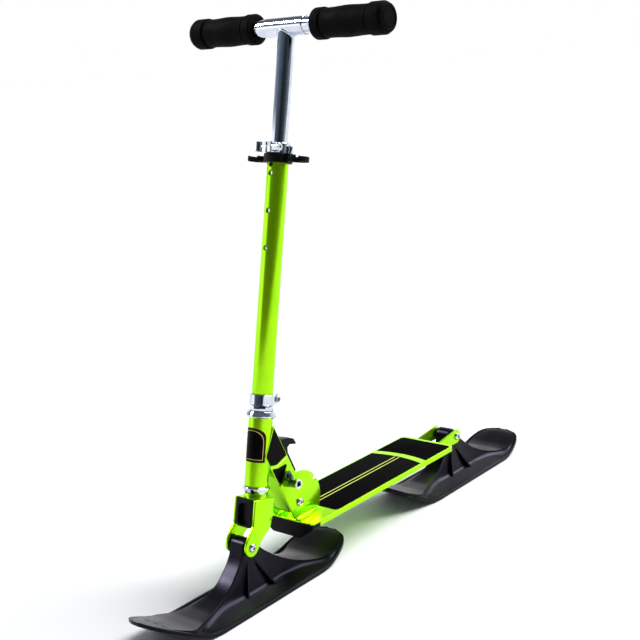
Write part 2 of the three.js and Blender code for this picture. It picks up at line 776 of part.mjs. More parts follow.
function gripPadFront() {
  const corners = rounded([
    [-gripPad.half, gripPad.front + gripPad.frontLength, 0], [-gripPad.half, gripPad.front, gripPad.round],
    [gripPad.half, gripPad.front, gripPad.round], [gripPad.half, gripPad.front + gripPad.frontLength, 0],
  ]);
  const rearEdge = gripPadEdge(gripPad.front + gripPad.frontLength);
  return upZ([...corners, ...rearEdge.slice(1, -1)], deckTop, deckTop + gripPad.thick);
}

function gripPadRear() {
  const start = gripPad.front + gripPad.frontLength + gripPad.gap;
  const end = deckRear - gripPad.margin;
  const corners = rounded([
    [gripPad.half, start, 0], [gripPad.half, end, gripPad.round], [-gripPad.half, end, gripPad.round],
    [-gripPad.half, start, 0],
  ]);
  return upZ([...corners, ...gripPadEdge(start).reverse().slice(1, -1)], deckTop, deckTop + gripPad.thick);
}

function bumperBody() {
  const top = deckTop - deck.sheet - gap;
  const outline = mirrored(rounded([
    [0, deckTop - bumper.drop, 0],
    [bumper.bottomHalf, deckTop - bumper.drop, bumper.round],
    [deck.half, deckTop - bumper.shoulderDrop, bumper.round],
    [deck.half, top, 0],
    [0, top, 0],
  ]).filter((point) => point.x > 0));
  return alongY(outline, bumper.front, bumper.front + bumper.depth);
}

function rearArmBody(side) {
  const eye = at(wheelbase, pivotHeight);
  const under = deckTop - deck.sheet - gap;
  const start = deckRear - rearArm.overlap;
  const clear = deckRear + gap;
  const profile = [
    at(start, deckTop - rearArm.rootDrop),
    ...arc(eye, rearArm.eyeRadius, -Math.PI * armEyeEnd, Math.PI * armEyeEnd, 12),
    at(clear, deckTop),
    at(clear, under),
    at(start, under),
  ];
  const [from, to] = side > 0 ? [rearArm.outer - rearArm.plate, rearArm.outer] : [-rearArm.outer,
    rearArm.plate - rearArm.outer];
  return cut(acrossX(profile, from, to), rodX(axleBolt.radius + gap, from - overrun, to + overrun, eye.x, eye.y));
}

// Steering tube, clamp pieces and stem

function frontHole(radius, height, reach) {
  return turnToFront(rod(radius, 0, reach, boltSteps)).translate(0, 0, height);
}

function lowerTubeBody() {
  const tube = ring(lowerTube.radius, lowerTube.bore, lowerTube.start, lowerTube.end);
  const holes = Object.values(tubeHoles).map((height) => (
    frontHole(lowerTube.holeRadius, height, lowerTube.radius + overrun)
  ));
  return cut(tube, ...holes);
}

// A split collar with two ears: behind it where side is 1, before it where side is -1
function splitCollar(size, start, side, boltAt, boltRadius) {
  const bore = lowerTube.radius + gap;
  const end = start + size.height;
  const ears = box(-size.earHalf, size.earHalf, Math.min(side * bore, side * size.earReach),
    Math.max(side * bore, side * size.earReach), start + gap, end - gap);
  const slotReach = side * (size.earReach + overrun);
  const slot = box(-size.slot, size.slot, Math.min(0, slotReach), Math.max(0, slotReach),
    start - overrun, end + overrun);
  return cut(join(rod(size.radius, start, end), ears),
    rod(bore, start - overrun, end + overrun), slot,
    rodX(boltRadius + gap, -size.earHalf - overrun, size.earHalf + overrun, side * boltAt, (start + end) / 2));
}

function pinchBoltBody() {
  const middle = pinch.start + pinch.height / 2;
  const reach = pinch.earHalf + gap;
  return join(
    rodX(pinchBolt.radius, -reach - pinchBolt.headHeight / 2, reach + pinchBolt.headHeight / 2,
      pinch.boltBack, middle),
    rodX(pinchBolt.headRadius, reach, reach + pinchBolt.headHeight, pinch.boltBack, middle),
    rodX(pinchBolt.headRadius, -reach - pinchBolt.headHeight / 2, -reach, pinch.boltBack, middle, 6),
  );
}

function clipBody() {
  const end = clip.start + clip.height;
  const low = clip.start + clip.jawRise;
  const high = low + clip.jawHeight;
  const jaw = (side, radius, from, to) => rod(radius, from, to).translate(side * clip.jawAt, 0, 0);
  const mouth = (side) => box(side * clip.jawAt - clip.mouthHalf, side * clip.jawAt + clip.mouthHalf,
    -clip.jawRadius - overrun, 0, clip.start - overrun, end + overrun);
  const arms = box(-clip.jawAt, clip.jawAt, -clip.arm / 2, clip.arm / 2, low, high);
  const boss = box(0, clip.screwAt + clip.bossHalf, -clip.bossHalf, clip.bossHalf, low, end);
  const bores = [1, -1].map((side) => jaw(side, clip.jawBore, clip.start - overrun, end + overrun));
  return cut(
    join(rod(clip.collarRadius, clip.start, end), arms, boss,
      jaw(1, clip.jawRadius, low, high), jaw(-1, clip.jawRadius, low, high)),
    rod(lowerTube.radius + gap, clip.start - overrun, end + overrun), ...bores, mouth(1), mouth(-1));
}

function releaseLever(start) {
  const middle = start + release.height / 2;
  const pivot = at(-release.barrelAt, -release.rodAhead);
  const barrel = rod(release.barrelRadius, middle - release.barrelHeight / 2,
    middle + release.barrelHeight / 2).translate(pivot.x, pivot.y, 0);
  const inner = release.radius + release.leverClear;
  const from = Math.atan2(pivot.y, pivot.x) + Math.PI * 2;
  const steps = 10;
  const inside = arc(at(0, 0), inner, from, release.leverEnd, steps);
  const outside = inside.map((point, i) => {
    const thick = release.leverThick + ((release.leverTip - release.leverThick) * i) / steps;
    return point.clone().setLength(inner + thick);
  });
  const arm = upZ([...inside, ...outside.reverse()], middle - release.leverHeight / 2,
    middle + release.leverHeight / 2);
  return join(barrel, arm);
}

function releaseParts() {
  const start = clip.start + clip.height + gap;
  const middle = start + release.height / 2;
  piece('quick_release_collar', splitCollar(release, start, -1, release.rodAhead, release.rodRadius),
    colour.chrome, column);
  piece('quick_release_rod',
    rodX(release.rodRadius, release.barrelRadius + gap - release.barrelAt, release.earHalf + release.nutLength / 2,
      -release.rodAhead, middle),
    colour.steel, column);
  const face = release.earHalf + gap;
  const nut = rodX(release.nutRadius, face, face + release.nutLength, -release.rodAhead, middle, roundSteps);
  const socket = rodX(release.socketRadius, face + release.nutLength - release.socketDepth,
    face + release.nutLength + overrun, -release.rodAhead, middle, 6);
  const seat = rodX(release.rodRadius + gap, face - overrun, release.earHalf + release.nutLength / 2 + gap,
    -release.rodAhead, middle);
  piece('quick_release_nut', cut(nut, socket, seat), colour.chrome, column);
  piece('quick_release_lever', releaseLever(start), colour.chrome, column);
}

function columnParts() {
  piece('fork', forkBody(), colour.lime, column);
  piece('fork_bump_stop', bumpStopBody(), colour.blackPlastic, column);
  piece('lower_headset_cup',
    cup(headTube.start - gap, -1, headTube.start - gap - headset.lowerStart, headset.lowerRadius, headset.taper),
    colour.chrome, column);
  piece('upper_headset_cup',
    cup(headTube.end + gap, 1, headset.upperHeight, headset.upperRadius, headset.taper / 2),
    colour.chrome, column);
  const nutStart = headTube.end + headset.upperHeight + gap * 2;
  piece('headset_locknut',
    cut(rod(headset.nutRadius, nutStart, nutStart + headset.nutHeight, 12),
      rod(fork.steererRadius + gap, nutStart - overrun, nutStart + headset.nutHeight + overrun)),
    colour.chrome, column);
  piece('pinch_collar', splitCollar(pinch, pinch.start, 1, pinch.boltBack, pinchBolt.radius),
    colour.chrome, column);
  piece('pinch_bolt', pinchBoltBody(), colour.steel, column);
  piece('lower_steering_tube', lowerTubeBody(), colour.lime, column);
  piece('stem_bush', ring(lowerTube.bore - gap, stem.radius + gap, stem.bushStart, lowerTube.end),
    colour.blackPlastic, column);
  piece('grip_holder_clip', clipBody(), colour.blackPlastic, column);
  const screwFoot = clip.start + clip.height + gap;
  piece('clip_screw',
    cut(rod(clip.screwRadius, screwFoot, screwFoot + clip.screwHeight, boltSteps),
      rod(clip.screwRadius / 2, screwFoot + clip.screwHeight / 2, screwFoot + clip.screwHeight + overrun, 6))
      .translate(clip.screwAt, 0, 0),
    colour.chrome, column);
  releaseParts();
}

function stemBody() {
  const bottom = tubeHoles.low - stem.belowButton;
  const outer = join(
    rod(stem.radius, bottom, stem.top),
    rodX(crossTube.radius, -crossTube.half, crossTube.half, 0, stem.top, roundSteps),
  );
  return cut(outer,
    rod(stem.bore, bottom - overrun, stem.top),
    rodX(handle.radius + gap, -crossTube.half - overrun, crossTube.half + overrun, 0, stem.top, roundSteps),
    frontHole(button.radius + gap, tubeHoles.low, stem.radius + overrun));
}

function buttonBody(tubeRadius) {
  const tip = tubeRadius + button.proud;
  const foot = tip - button.depth;
  return turnToFront(turned([
    [0, foot - button.flange], [button.flangeRadius, foot - button.flange], [button.flangeRadius, foot],
    [button.radius, foot], [button.radius, tip - button.proud / 2], [button.radius - button.proud, tip], [0, tip],
  ], boltSteps));
}

function handleTube(side) {
  const tube = ringX(handle.radius, handle.bore, handle.inner, handle.outer, 0, 0, roundSteps);
  const hole = frontHole(button.radius + gap, 0, handle.radius + overrun).translate(handle.buttonAt, 0, 0);
  const shaped = cut(tube, hole);
  return side > 0 ? shaped : shaped.rotateZ(Math.PI).rotateX(Math.PI);
}

function gripBody(side) {
  const bore = handle.radius + gap;
  const barrelStart = grip.inner + grip.flange + grip.groove;
  const barrelEnd = barrelStart + grip.barrel;
  const barrel = new THREE.SplineCurve([
    at(grip.grooveRadius + grip.edge / 2, barrelStart),
    at(grip.barrelRadius, barrelStart + grip.barrel / 2),
    at(grip.grooveRadius + grip.edge / 2, barrelEnd),
  ]).getPoints(5).map((point) => [point.x, point.y]);
  const ringStart = barrelEnd + grip.groove;
  const ringEnd = ringStart + grip.ring;
  return turnToX(turned([
    [0, handle.outer + gap], [bore, handle.outer + gap], [bore, grip.inner],
    [grip.flangeRadius - grip.edge, grip.inner], [grip.flangeRadius, grip.inner + grip.edge],
    [grip.flangeRadius, barrelStart - grip.groove], [grip.grooveRadius, barrelStart - grip.groove],
    [grip.grooveRadius, barrelStart], ...barrel, [grip.grooveRadius, barrelEnd],
    [grip.grooveRadius, ringStart], [grip.ringRadius, ringStart], [grip.ringRadius, ringEnd],
    [grip.ringRadius - grip.edge, ringEnd + grip.edge], [grip.ringRadius - grip.edge * 2, grip.outer],
    [0, grip.outer],
  ])).rotateY(side > 0 ? 0 : Math.PI);
}

function barParts() {
  piece('t_bar_stem', stemBody(), colour.chrome, column);
  piece('height_button', buttonBody(stem.radius), colour.chrome, column).position.z = tubeHoles.low;
  [['left', 1], ['right', -1]].forEach(([name, side]) => {
    const group = new THREE.Group();
    group.position.z = stem.top;
    column.add(group);
    piece(`${name}_handle_tube`, handleTube(side), colour.chrome, group);
    piece(`${name}_grip`, gripBody(side), colour.gripRubber, group);
    piece(`${name}_handle_button`, buttonBody(handle.radius), colour.chrome, group)
      .position.x = side * handle.buttonAt;
  });
}

function deckParts() {
  piece('deck', deckBody(), colour.lime);
  piece('deck_grip_front', gripPadFront(), colour.gritPad);
  piece('deck_grip_rear', gripPadRear(), colour.gritPad);
  piece('front_bumper', bumperBody(), colour.blackPlastic);
  piece('left_rear_arm', rearArmBody(1), colour.lime);
  piece('right_rear_arm', rearArmBody(-1), colour.lime);
}

function hingeParts() {
  const sectorFace = sector.inner + sector.plate + gap;
  const wallFace = neck.half - neck.wall - gap;
  const { back, height } = foldPivot;
  piece('left_hinge_sector', sectorPlate(1), colour.lime);
  piece('right_hinge_sector', sectorPlate(-1), colour.lime);
  piece('fold_pivot_bolt',
    axleX(foldPivot.boltRadius, sectorFace, foldPivot.headRadius, foldPivot.headHeight, back, height),
    colour.chrome);
  piece('fold_pivot_nut',
    nutX(foldPivot.boltRadius + gap, foldPivot.headRadius, foldPivot.headHeight, sectorFace, back, height),
    colour.steel);
  piece('fold_pivot_sleeve',
    ringX(foldPivot.boltRadius + gap + foldPivot.sleeveWall, foldPivot.boltRadius + gap, -wallFace, wallFace,
      back, height),
    colour.steel);
  piece('neck_frame', neckFrame(), colour.lime);
  lockParts();
}

deckParts();
hingeParts();
skiFittings('front', 0, fork.half - fork.plate, fork.half, rearArm.washerRadius);
skiFittings('rear', wheelbase, rearArm.outer - rearArm.plate, rearArm.outer, rearArm.washerRadius);
columnParts();
barParts();

export default scooter;
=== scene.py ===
import bpy
import bmesh
import json
from math import atan2, cos, pi, radians, sin, sqrt, tan
from mathutils import Matrix, Vector


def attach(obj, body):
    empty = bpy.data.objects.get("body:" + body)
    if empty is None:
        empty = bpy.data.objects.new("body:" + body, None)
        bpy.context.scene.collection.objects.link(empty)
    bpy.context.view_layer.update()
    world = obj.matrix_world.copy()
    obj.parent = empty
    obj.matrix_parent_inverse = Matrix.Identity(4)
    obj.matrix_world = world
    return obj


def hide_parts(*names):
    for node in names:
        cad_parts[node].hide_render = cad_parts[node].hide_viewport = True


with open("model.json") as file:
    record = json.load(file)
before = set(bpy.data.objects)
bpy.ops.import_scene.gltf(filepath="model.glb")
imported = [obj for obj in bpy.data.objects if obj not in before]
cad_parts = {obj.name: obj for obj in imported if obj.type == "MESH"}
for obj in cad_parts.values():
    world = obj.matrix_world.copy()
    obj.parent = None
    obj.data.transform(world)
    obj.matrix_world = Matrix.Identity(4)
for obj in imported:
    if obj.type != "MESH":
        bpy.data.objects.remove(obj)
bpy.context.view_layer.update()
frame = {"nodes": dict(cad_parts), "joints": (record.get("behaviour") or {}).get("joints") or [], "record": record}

scene = bpy.context.scene
scene.view_settings.view_transform = "Standard"
mm = 0.001
gap = 0.3  # play between faces that meet

# Places that come from the frame
joints = {joint["name"]: joint for joint in frame["joints"]}
frontPivot = Vector(joints["front_ski_pitch"]["pos_m"])
rearPivot = Vector(joints["rear_ski_pitch"]["pos_m"])
columnFoot = Vector(joints["steer"]["pos_m"])
columnAxis = Vector(joints["steer"]["axis"]).normalized()
pivotHeight = frontPivot.z / mm
foldBack = (Vector(joints["fold"]["pos_m"]).y - frontPivot.y) / mm
foldHeight = joints["fold"]["pos_m"][2] / mm
foldPoint = (foldBack, foldHeight)
wheelbase = (rearPivot.y - frontPivot.y) / mm

# Side shapes are drawn in millimetres from the snow under the front ski pivot
sidePlace = Matrix.Translation((0, frontPivot.y, 0)) @ Matrix.Scale(mm, 4)
rearPlace = Matrix.Translation((0, rearPivot.y, 0)) @ Matrix.Scale(mm, 4)
# Column shapes are drawn with Z up the steering axis from the fork crown
columnTurn = Matrix(((1, 0, 0), (0, columnAxis.z, columnAxis.y), (0, -columnAxis.y, columnAxis.z))).to_4x4()
columnPlace = Matrix.Translation(columnFoot) @ columnTurn @ Matrix.Scale(mm, 4)
neckLean = radians(25)


# Camera, fitted to the photograph

cameraView = {"place": (1.0961, -1.3730, 0.7753), "yaw": 39.81, "pitch": 13.12, "roll": -3.98, "lens": 63.15}


def addCamera():
    yaw, pitch, roll = (radians(cameraView[key]) for key in ("yaw", "pitch", "roll"))
    forward = Vector((-sin(yaw) * cos(pitch), cos(yaw) * cos(pitch), -sin(pitch)))
    right = Vector((cos(yaw), sin(yaw), 0))
    up = right.cross(forward)
    imageRight = cos(roll) * right + sin(roll) * up
    imageUp = -sin(roll) * right + cos(roll) * up
    data = bpy.data.cameras.new("camera")
    data.sensor_width = 36
    data.lens = cameraView["lens"]
    camera = bpy.data.objects.new("camera", data)
    scene.collection.objects.link(camera)
    turn = Matrix((imageRight, imageUp, -forward)).transposed().to_4x4()
    camera.matrix_world = Matrix.Translation(cameraView["place"]) @ turn
    scene.camera = camera
    return forward


cameraForward = addCamera()


# Materials

def hexColour(text):
    channels = [int(text[i:i + 2], 16) / 255 for i in (1, 3, 5)]
    return (*(c / 12.92 if c <= 0.04045 else ((c + 0.055) / 1.055) ** 2.4 for c in channels), 1.0)


def addNode(tree, kind, settings=None, links=None):
    node = tree.nodes.new(kind)
    for key, value in (settings or {}).items():
        if isinstance(key, int) or key in node.inputs:
            node.inputs[key].default_value = value
        else:
            setattr(node, key, value)
    for key, source in (links or {}).items():
        tree.links.new(source, node.inputs[key])
    return node


noise, cells = "ShaderNodeTexNoise", "ShaderNodeTexVoronoi"


def makeMaterial(name, look):
    # a pattern, given with its size in mm, mixes two tones and moves the roughness over its own range;
    # the same pattern or one of its own, the relief, raises the surface by the depth in mm
    material = bpy.data.materials.new(name)
    material.use_nodes = True
    tree = material.node_tree
    tree.nodes.clear()
    surface = addNode(tree, "ShaderNodeBsdfPrincipled", look["surface"])
    addNode(tree, "ShaderNodeOutputMaterial", None, {"Surface": surface.outputs["BSDF"]})
    if "pattern" not in look:
        return material
    where = drawnFrom = addNode(tree, "ShaderNodeTexCoord").outputs["Object"]
    if "stretch" in look:
        mapping = addNode(tree, "ShaderNodeMapping", {"Scale": look["stretch"]}, {"Vector": where})
        drawnFrom = mapping.outputs["Vector"]
    kind, size, settings = look["pattern"]
    pattern = addNode(tree, kind, {"Scale": 1000 / size, **settings}, {"Vector": drawnFrom}).outputs[0]
    low, high = look.get("contrast", (0.3, 0.7))
    share = addNode(tree, "ShaderNodeMapRange", {"From Min": low, "From Max": high}, {"Value": pattern})
    first, second = look["tones"]
    colour = addNode(tree, "ShaderNodeMix", {"data_type": "RGBA", 6: first, 7: second},
                     {0: share.outputs["Result"]})
    tree.links.new(colour.outputs[2], surface.inputs["Base Color"])
    if "roughness" in look:
        smooth, rough = look["roughness"]
        settings = {"From Min": 0.3, "From Max": 0.7, "To Min": smooth, "To Max": rough}
        spread = addNode(tree, "ShaderNodeMapRange", settings, {"Value": pattern})
        tree.links.new(spread.outputs["Result"], surface.inputs["Roughness"])
    if "bump" in look:
        strength, depth, socket = look["bump"]
        relief = pattern
        if "relief" in look:
            kind, size, settings = look["relief"]
            relief = addNode(tree, kind, {"Scale": 1000 / size, **settings}, {"Vector": where}).outputs[0]
        raised = addNode(tree, "ShaderNodeBump", {"Strength": strength, "Distance": depth * mm},
                         {"Height": relief})
        tree.links.new(raised.outputs["Normal"], surface.inputs[socket])
    return material


# one finish for each material slot of the record
finishes = {
    # candy lime powder coat over bright metal: saturated, with a wet clear coat and faint orange peel
    "lime_paint": makeMaterial("limePowderCoat", {
        "tones": (hexColour("#B6FA0C"), hexColour("#A2F004")), "pattern": (noise, 60, {"Detail": 2}),
        "surface": {"Metallic": 0.78, "Specular Tint": hexColour("#D8FF3C"), "Coat Weight": 0.2,
                    "Coat Roughness": 0.04}, "roughness": (0.17, 0.23),
        "relief": (noise, 2.2, {"Detail": 2}), "bump": (0.05, 0.05, "Coat Normal")}),
    # the same lime coat painted darker for the lock's parts in the recess: painted shade, standing in for the
    # shade between the plates
    "dark_lime_paint": makeMaterial("shadedLimePowderCoat", {
        "tones": (hexColour("#3A7804"), hexColour("#285C02")), "pattern": (noise, 8, {"Detail": 2}),
        "surface": {"Metallic": 0.5, "Roughness": 0.28, "Coat Weight": 0.8, "Coat Roughness": 0.06},
        "relief": (noise, 2.2, {"Detail": 2}), "bump": (0.06, 0.05, "Coat Normal")}),
    # bright chrome plate on polished steel: mirror sharp, with a faint handling haze
    "chrome_plate": makeMaterial("chromePlate", {
        "tones": (hexColour("#DDE2EA"), hexColour("#C4CAD4")),
        "pattern": (noise, 22, {"Detail": 5, "Roughness": 0.6}), "surface": {"Metallic": 1},
        "roughness": (0.045, 0.11), "relief": (noise, 3, {"Detail": 2}), "bump": (0.03, 0.02, "Normal")}),
    # zinc-plated steel of nuts and bushes: greyer than chrome, with a fine tumbled grain
    "zinc_steel": makeMaterial("zincPlate", {
        "tones": (hexColour("#B4B7BC"), hexColour("#8C9096")), "pattern": (noise, 1.6, {"Detail": 4}),
        "surface": {"Metallic": 1}, "roughness": (0.24, 0.42), "bump": (0.1, 0.03, "Normal")}),
    # black oxide on the lock's small bolt: a dark oily sheen that wears grey in spots
    "black_steel": makeMaterial("blackOxideSteel", {
        "tones": (hexColour("#26262A"), hexColour("#4A4A50")), "pattern": (noise, 1.2, {"Detail": 4}),
        "contrast": (0.55, 0.8), "surface": {"Metallic": 0.9}, "roughness": (0.3, 0.45)}),
    # moulded black polyethylene of the skis: waxy satin sheen, clouded by its flow, over a fine mould grain
    "ski_polyethylene": makeMaterial("mouldedPolyethylene", {
        "tones": (hexColour("#030304"), hexColour("#07060A")), "stretch": (1, 0.35, 1),
        "pattern": (noise, 46, {"Detail": 4, "Roughness": 0.55}),
        "surface": {"Specular IOR Level": 0.2, "Specular Tint": hexColour("#B6AEDC")},
        "roughness": (0.26, 0.38), "relief": (noise, 0.9, {"Detail": 2}), "bump": (0.12, 0.03, "Normal")}),
    # spark-eroded black nylon of the clip, lever, bumper and stop: fine even grain, soft sheen
    "black_plastic": makeMaterial("mouldedNylon", {
        "tones": (hexColour("#040304"), hexColour("#080709")), "pattern": (noise, 18, {"Detail": 3}),
        "surface": {"Specular IOR Level": 0.12}, "roughness": (0.36, 0.5),
        "relief": (noise, 0.8, {"Detail": 2}), "bump": (0.2, 0.04, "Normal")}),
    # moulded rubber of the grips: deep matt black with a close stipple that breaks up the light
    "grip_rubber": makeMaterial("mouldedRubber", {
        "tones": (hexColour("#030304"), hexColour("#080809")), "pattern": (noise, 14, {"Detail": 3}),
        "surface": {"Specular IOR Level": 0.04}, "roughness": (0.62, 0.78), "relief": (cells, 1.3, {}),
        "bump": (0.35, 0.12, "Normal")}),
    # grit tape on the deck: grains in black binder, each with a painted glint, a lighter spot at its middle, drawn
    # coarser than the real grit so they show
    "deck_tape": makeMaterial("gritTape", {
        "tones": (hexColour("#1C191E"), hexColour("#040304")), "pattern": (cells, 0.9, {}),
        "contrast": (0, 0.22), "surface": {"Roughness": 0.82, "Specular IOR Level": 0.02},
        "bump": (0.5, 0.15, "Normal")}),
}

# printed vinyl film: flat ink under a thin laminate, with a slight ripple where it was pressed on
vinyls = {}
for inkName, inkText, inkRoughness in (("pale", "#E9FF72", 0.35), ("black", "#050304", 0.3),
                                       ("maroon", "#3C0E18", 0.3)):
    ink = hexColour(inkText)
    lighter = (*(min(1, channel * 1.15 + 0.0006) for channel in ink[:3]), 1)
    vinyls[inkName] = makeMaterial(inkName + "VinylFilm", {
        "tones": (ink, lighter), "pattern": (noise, 12, {"Detail": 2}), "bump": (0.04, 0.1, "Normal"),
        "surface": {"Roughness": inkRoughness, "Specular IOR Level": 0.04}})
print("materials made")


# Shape helpers, all in millimetres until a piece is placed

def meshPiece(name, vertices, faces):
    mesh = bpy.data.meshes.new(name)
    mesh.from_pydata([tuple(v) for v in vertices], [], faces)
    mesh.validate()
    shape = bmesh.new()
    shape.from_mesh(mesh)
    bmesh.ops.remove_doubles(shape, verts=shape.verts, dist=1e-4)
    bmesh.ops.recalc_face_normals(shape, faces=shape.faces)
    shape.to_mesh(mesh)
    shape.free()
    piece = bpy.data.objects.new(name, mesh)
    scene.collection.objects.link(piece)
    return piece


def evenly(start, end, steps):
    return [start + (end - start) * i / steps for i in range(steps + 1)]


def arc(centre, radius, start, end, steps):
    return [(centre[0] + radius * cos(a), centre[1] + radius * sin(a)) for a in evenly(start, end, steps)]


def hexagon(centre, radius):
    return arc(centre, radius, 0, 2 * pi - pi / 3, 5)


def rectangle(x, y, rounding=0):
    return [(x[0], y[0], rounding), (x[1], y[0], rounding), (x[1], y[1], rounding), (x[0], y[1], rounding)]


def mirrored(rightSide):
    return rightSide + [(-p[0], *p[1:]) for p in reversed(rightSide)]


def onSide(side, inner, outer):
    return sorted((side * inner, side * outer))


def bend(start, corner, end, steps):
    return [tuple(start * (1 - t) ** 2 + corner * 2 * t * (1 - t) + end * t * t) for t in evenly(0, 1, steps)]


def rounded(corners, steps):
    # Rounds a closed outline; the third value of a corner is its rounding
    points = []
    for i, (x, y, rounding) in enumerate(corners):
        here = Vector((x, y))
        before = Vector(corners[i - 1][:2]) - here
        after = Vector(corners[(i + 1) % len(corners)][:2]) - here
        straight = not rounding or min(before.length, after.length) < 1e-6
        half = pi / 2 if straight else max(before.angle(after) / 2, 0.02)
        if half > pi / 2 - 0.03:
            points.append(tuple(here))
            continue
        reach = min(rounding / tan(half), before.length * 0.49, after.length * 0.49)
        points += bend(here + before.normalized() * reach, here, here + after.normalized() * reach, steps)
    return points


def eased(corners, steps=4):
    # Rounds every inner corner with the same count of points, so that sections can be joined up
    points = [tuple(corners[0][:2])]
    for before, corner, after in zip(corners, corners[1:], corners[2:]):
        here = Vector(corner[:2])
        back, ahead = Vector(before[:2]) - here, Vector(after[:2]) - here
        reach = min(corner[2], back.length * 0.45, ahead.length * 0.45)
        points += bend(here + back.normalized() * reach, here, here + ahead.normalized() * reach, steps)
    return points + [tuple(corners[-1][:2])]


def placed(across, up, height, along):
    return {"x": (height, across, up), "y": (across, height, up), "z": (across, up, height)}[along]


def wallFaces(rings, steps, closed=False):
    faces = []
    for i in range(rings if closed else rings - 1):
        here, ahead = i * steps, (i + 1) % rings * steps
        for k in range(steps):
            n = (k + 1) % steps
            faces.append((here + k, here + n, ahead + n, ahead + k))
    return faces


def prism(name, outline, low, high, along="x"):
    count = len(outline)
    vertices = [placed(p[0], p[1], height, along) for height in (low, high) for p in outline]
    ends = [tuple(range(count)), tuple(range(2 * count - 1, count - 1, -1))]
    return meshPiece(name, vertices, ends + wallFaces(2, count))


def turned(name, profile, steps=96, along="z", centre=(0, 0)):
    closed = min(profile[0][0], profile[-1][0]) > 1e-6
    angles = [2 * pi * k / steps for k in range(steps)]
    vertices = [placed(centre[0] + radius * cos(a), centre[1] + radius * sin(a), height, along)
                for radius, height in profile for a in angles]
    return meshPiece(name, vertices, wallFaces(len(profile), steps, closed))


def rod(name, radius, low, high, along="x", centre=(0, 0), edge=0.3, steps=64):
    edge = min(edge, radius / 3, (high - low) / 3)
    profile = [(0, low), (radius - edge, low), (radius, low + edge), (radius, high - edge),
               (radius - edge, high), (0, high)]
    return turned(name, profile, steps, along, centre)


def drill(radius, low, high, along="x", centre=(0, 0), steps=48):
    return rod("drill", radius, low, high, along, centre, 0, steps)


def ring(name, radius, bore, low, high, along="x", centre=(0, 0), edge=0.3, steps=96):
    return turned(name, rounded(rectangle((bore, radius), (low, high), edge), 3), steps, along, centre)


def block(name, x, y, z):
    return prism(name, rectangle(x, y), *z, "z")


def bake(piece):
    depsgraph = bpy.context.evaluated_depsgraph_get()
    mesh = bpy.data.meshes.new_from_object(piece.evaluated_get(depsgraph))
    piece.modifiers.clear()
    old = piece.data
    piece.data = mesh
    bpy.data.meshes.remove(old)


def combine(piece, others, operation):
    for other in others:
        step = piece.modifiers.new("combine", "BOOLEAN")
        step.operation = operation
        step.solver = "EXACT"
        step.object = other
    bake(piece)
    for other in others:
        bpy.data.objects.remove(other)


def carve(piece, *cutters):
    combine(piece, cutters, "DIFFERENCE")


def weld(piece, *others):
    combine(piece, others, "UNION")


def gather(piece, *others):
    # Brings loose shells into one piece without a boolean
    shape = bmesh.new()
    for item in (piece, *others):
        shape.from_mesh(item.data)
    shape.to_mesh(piece.data)
    shape.free()
    for item in others:
        bpy.data.objects.remove(item)


def easeEdges(piece, width, segments=2, angle=40):
    step = piece.modifiers.new("ease", "BEVEL")
    step.width = width
    step.segments = segments
    step.limit_method = "ANGLE"
    step.angle_limit = radians(angle)
    step.harden_normals = False
    bake(piece)


def finish(piece, place, slot, body, *nodes, material=None, sharp=32):
    # Places the piece and gives it its slot's finish; sharp is the angle from which an edge shows
    mesh = piece.data
    mesh.transform(place)
    mesh.materials.clear()
    mesh.materials.append(material or finishes[slot])
    mesh.polygons.foreach_set("use_smooth", [True] * len(mesh.polygons))
    mesh.set_sharp_from_angle(angle=radians(sharp))
    mesh.update()
    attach(piece, body)
    if nodes:
        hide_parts(*nodes)


def smoothCurve(points):
    # A smooth line through (place, value) points that doesn't overshoot
    places, values = zip(*points)
    slopes = [(values[i + 1] - values[i]) / (places[i + 1] - places[i]) for i in range(len(points) - 1)]
    inner = [0 if a * b <= 0 else 2 * a * b / (a + b) for a, b in zip(slopes, slopes[1:])]
    tangents = [slopes[0], *inner, slopes[-1]]

    def valueAt(place):
        if place <= places[0]:
            return values[0]
        for i in range(len(points) - 1):
            if place <= places[i + 1]:
                width = places[i + 1] - places[i]
                t = (place - places[i]) / width
                return ((1 + 2 * t) * (1 - t) ** 2 * values[i] + t * (1 - t) ** 2 * width * tangents[i]
                        + t * t * (3 - 2 * t) * values[i + 1] + t * t * (t - 1) * width * tangents[i + 1])
        return values[-1]

    return valueAt


def onNeck(behind, along):
    return (foldBack + behind * cos(neckLean) - along * sin(neckLean),
            foldHeight + behind * sin(neckLean) + along * cos(neckLean))


def neckPrism(name, outline, low, high):
    return prism(name, [onNeck(*p[:2]) for p in outline], low, high)


# Skis

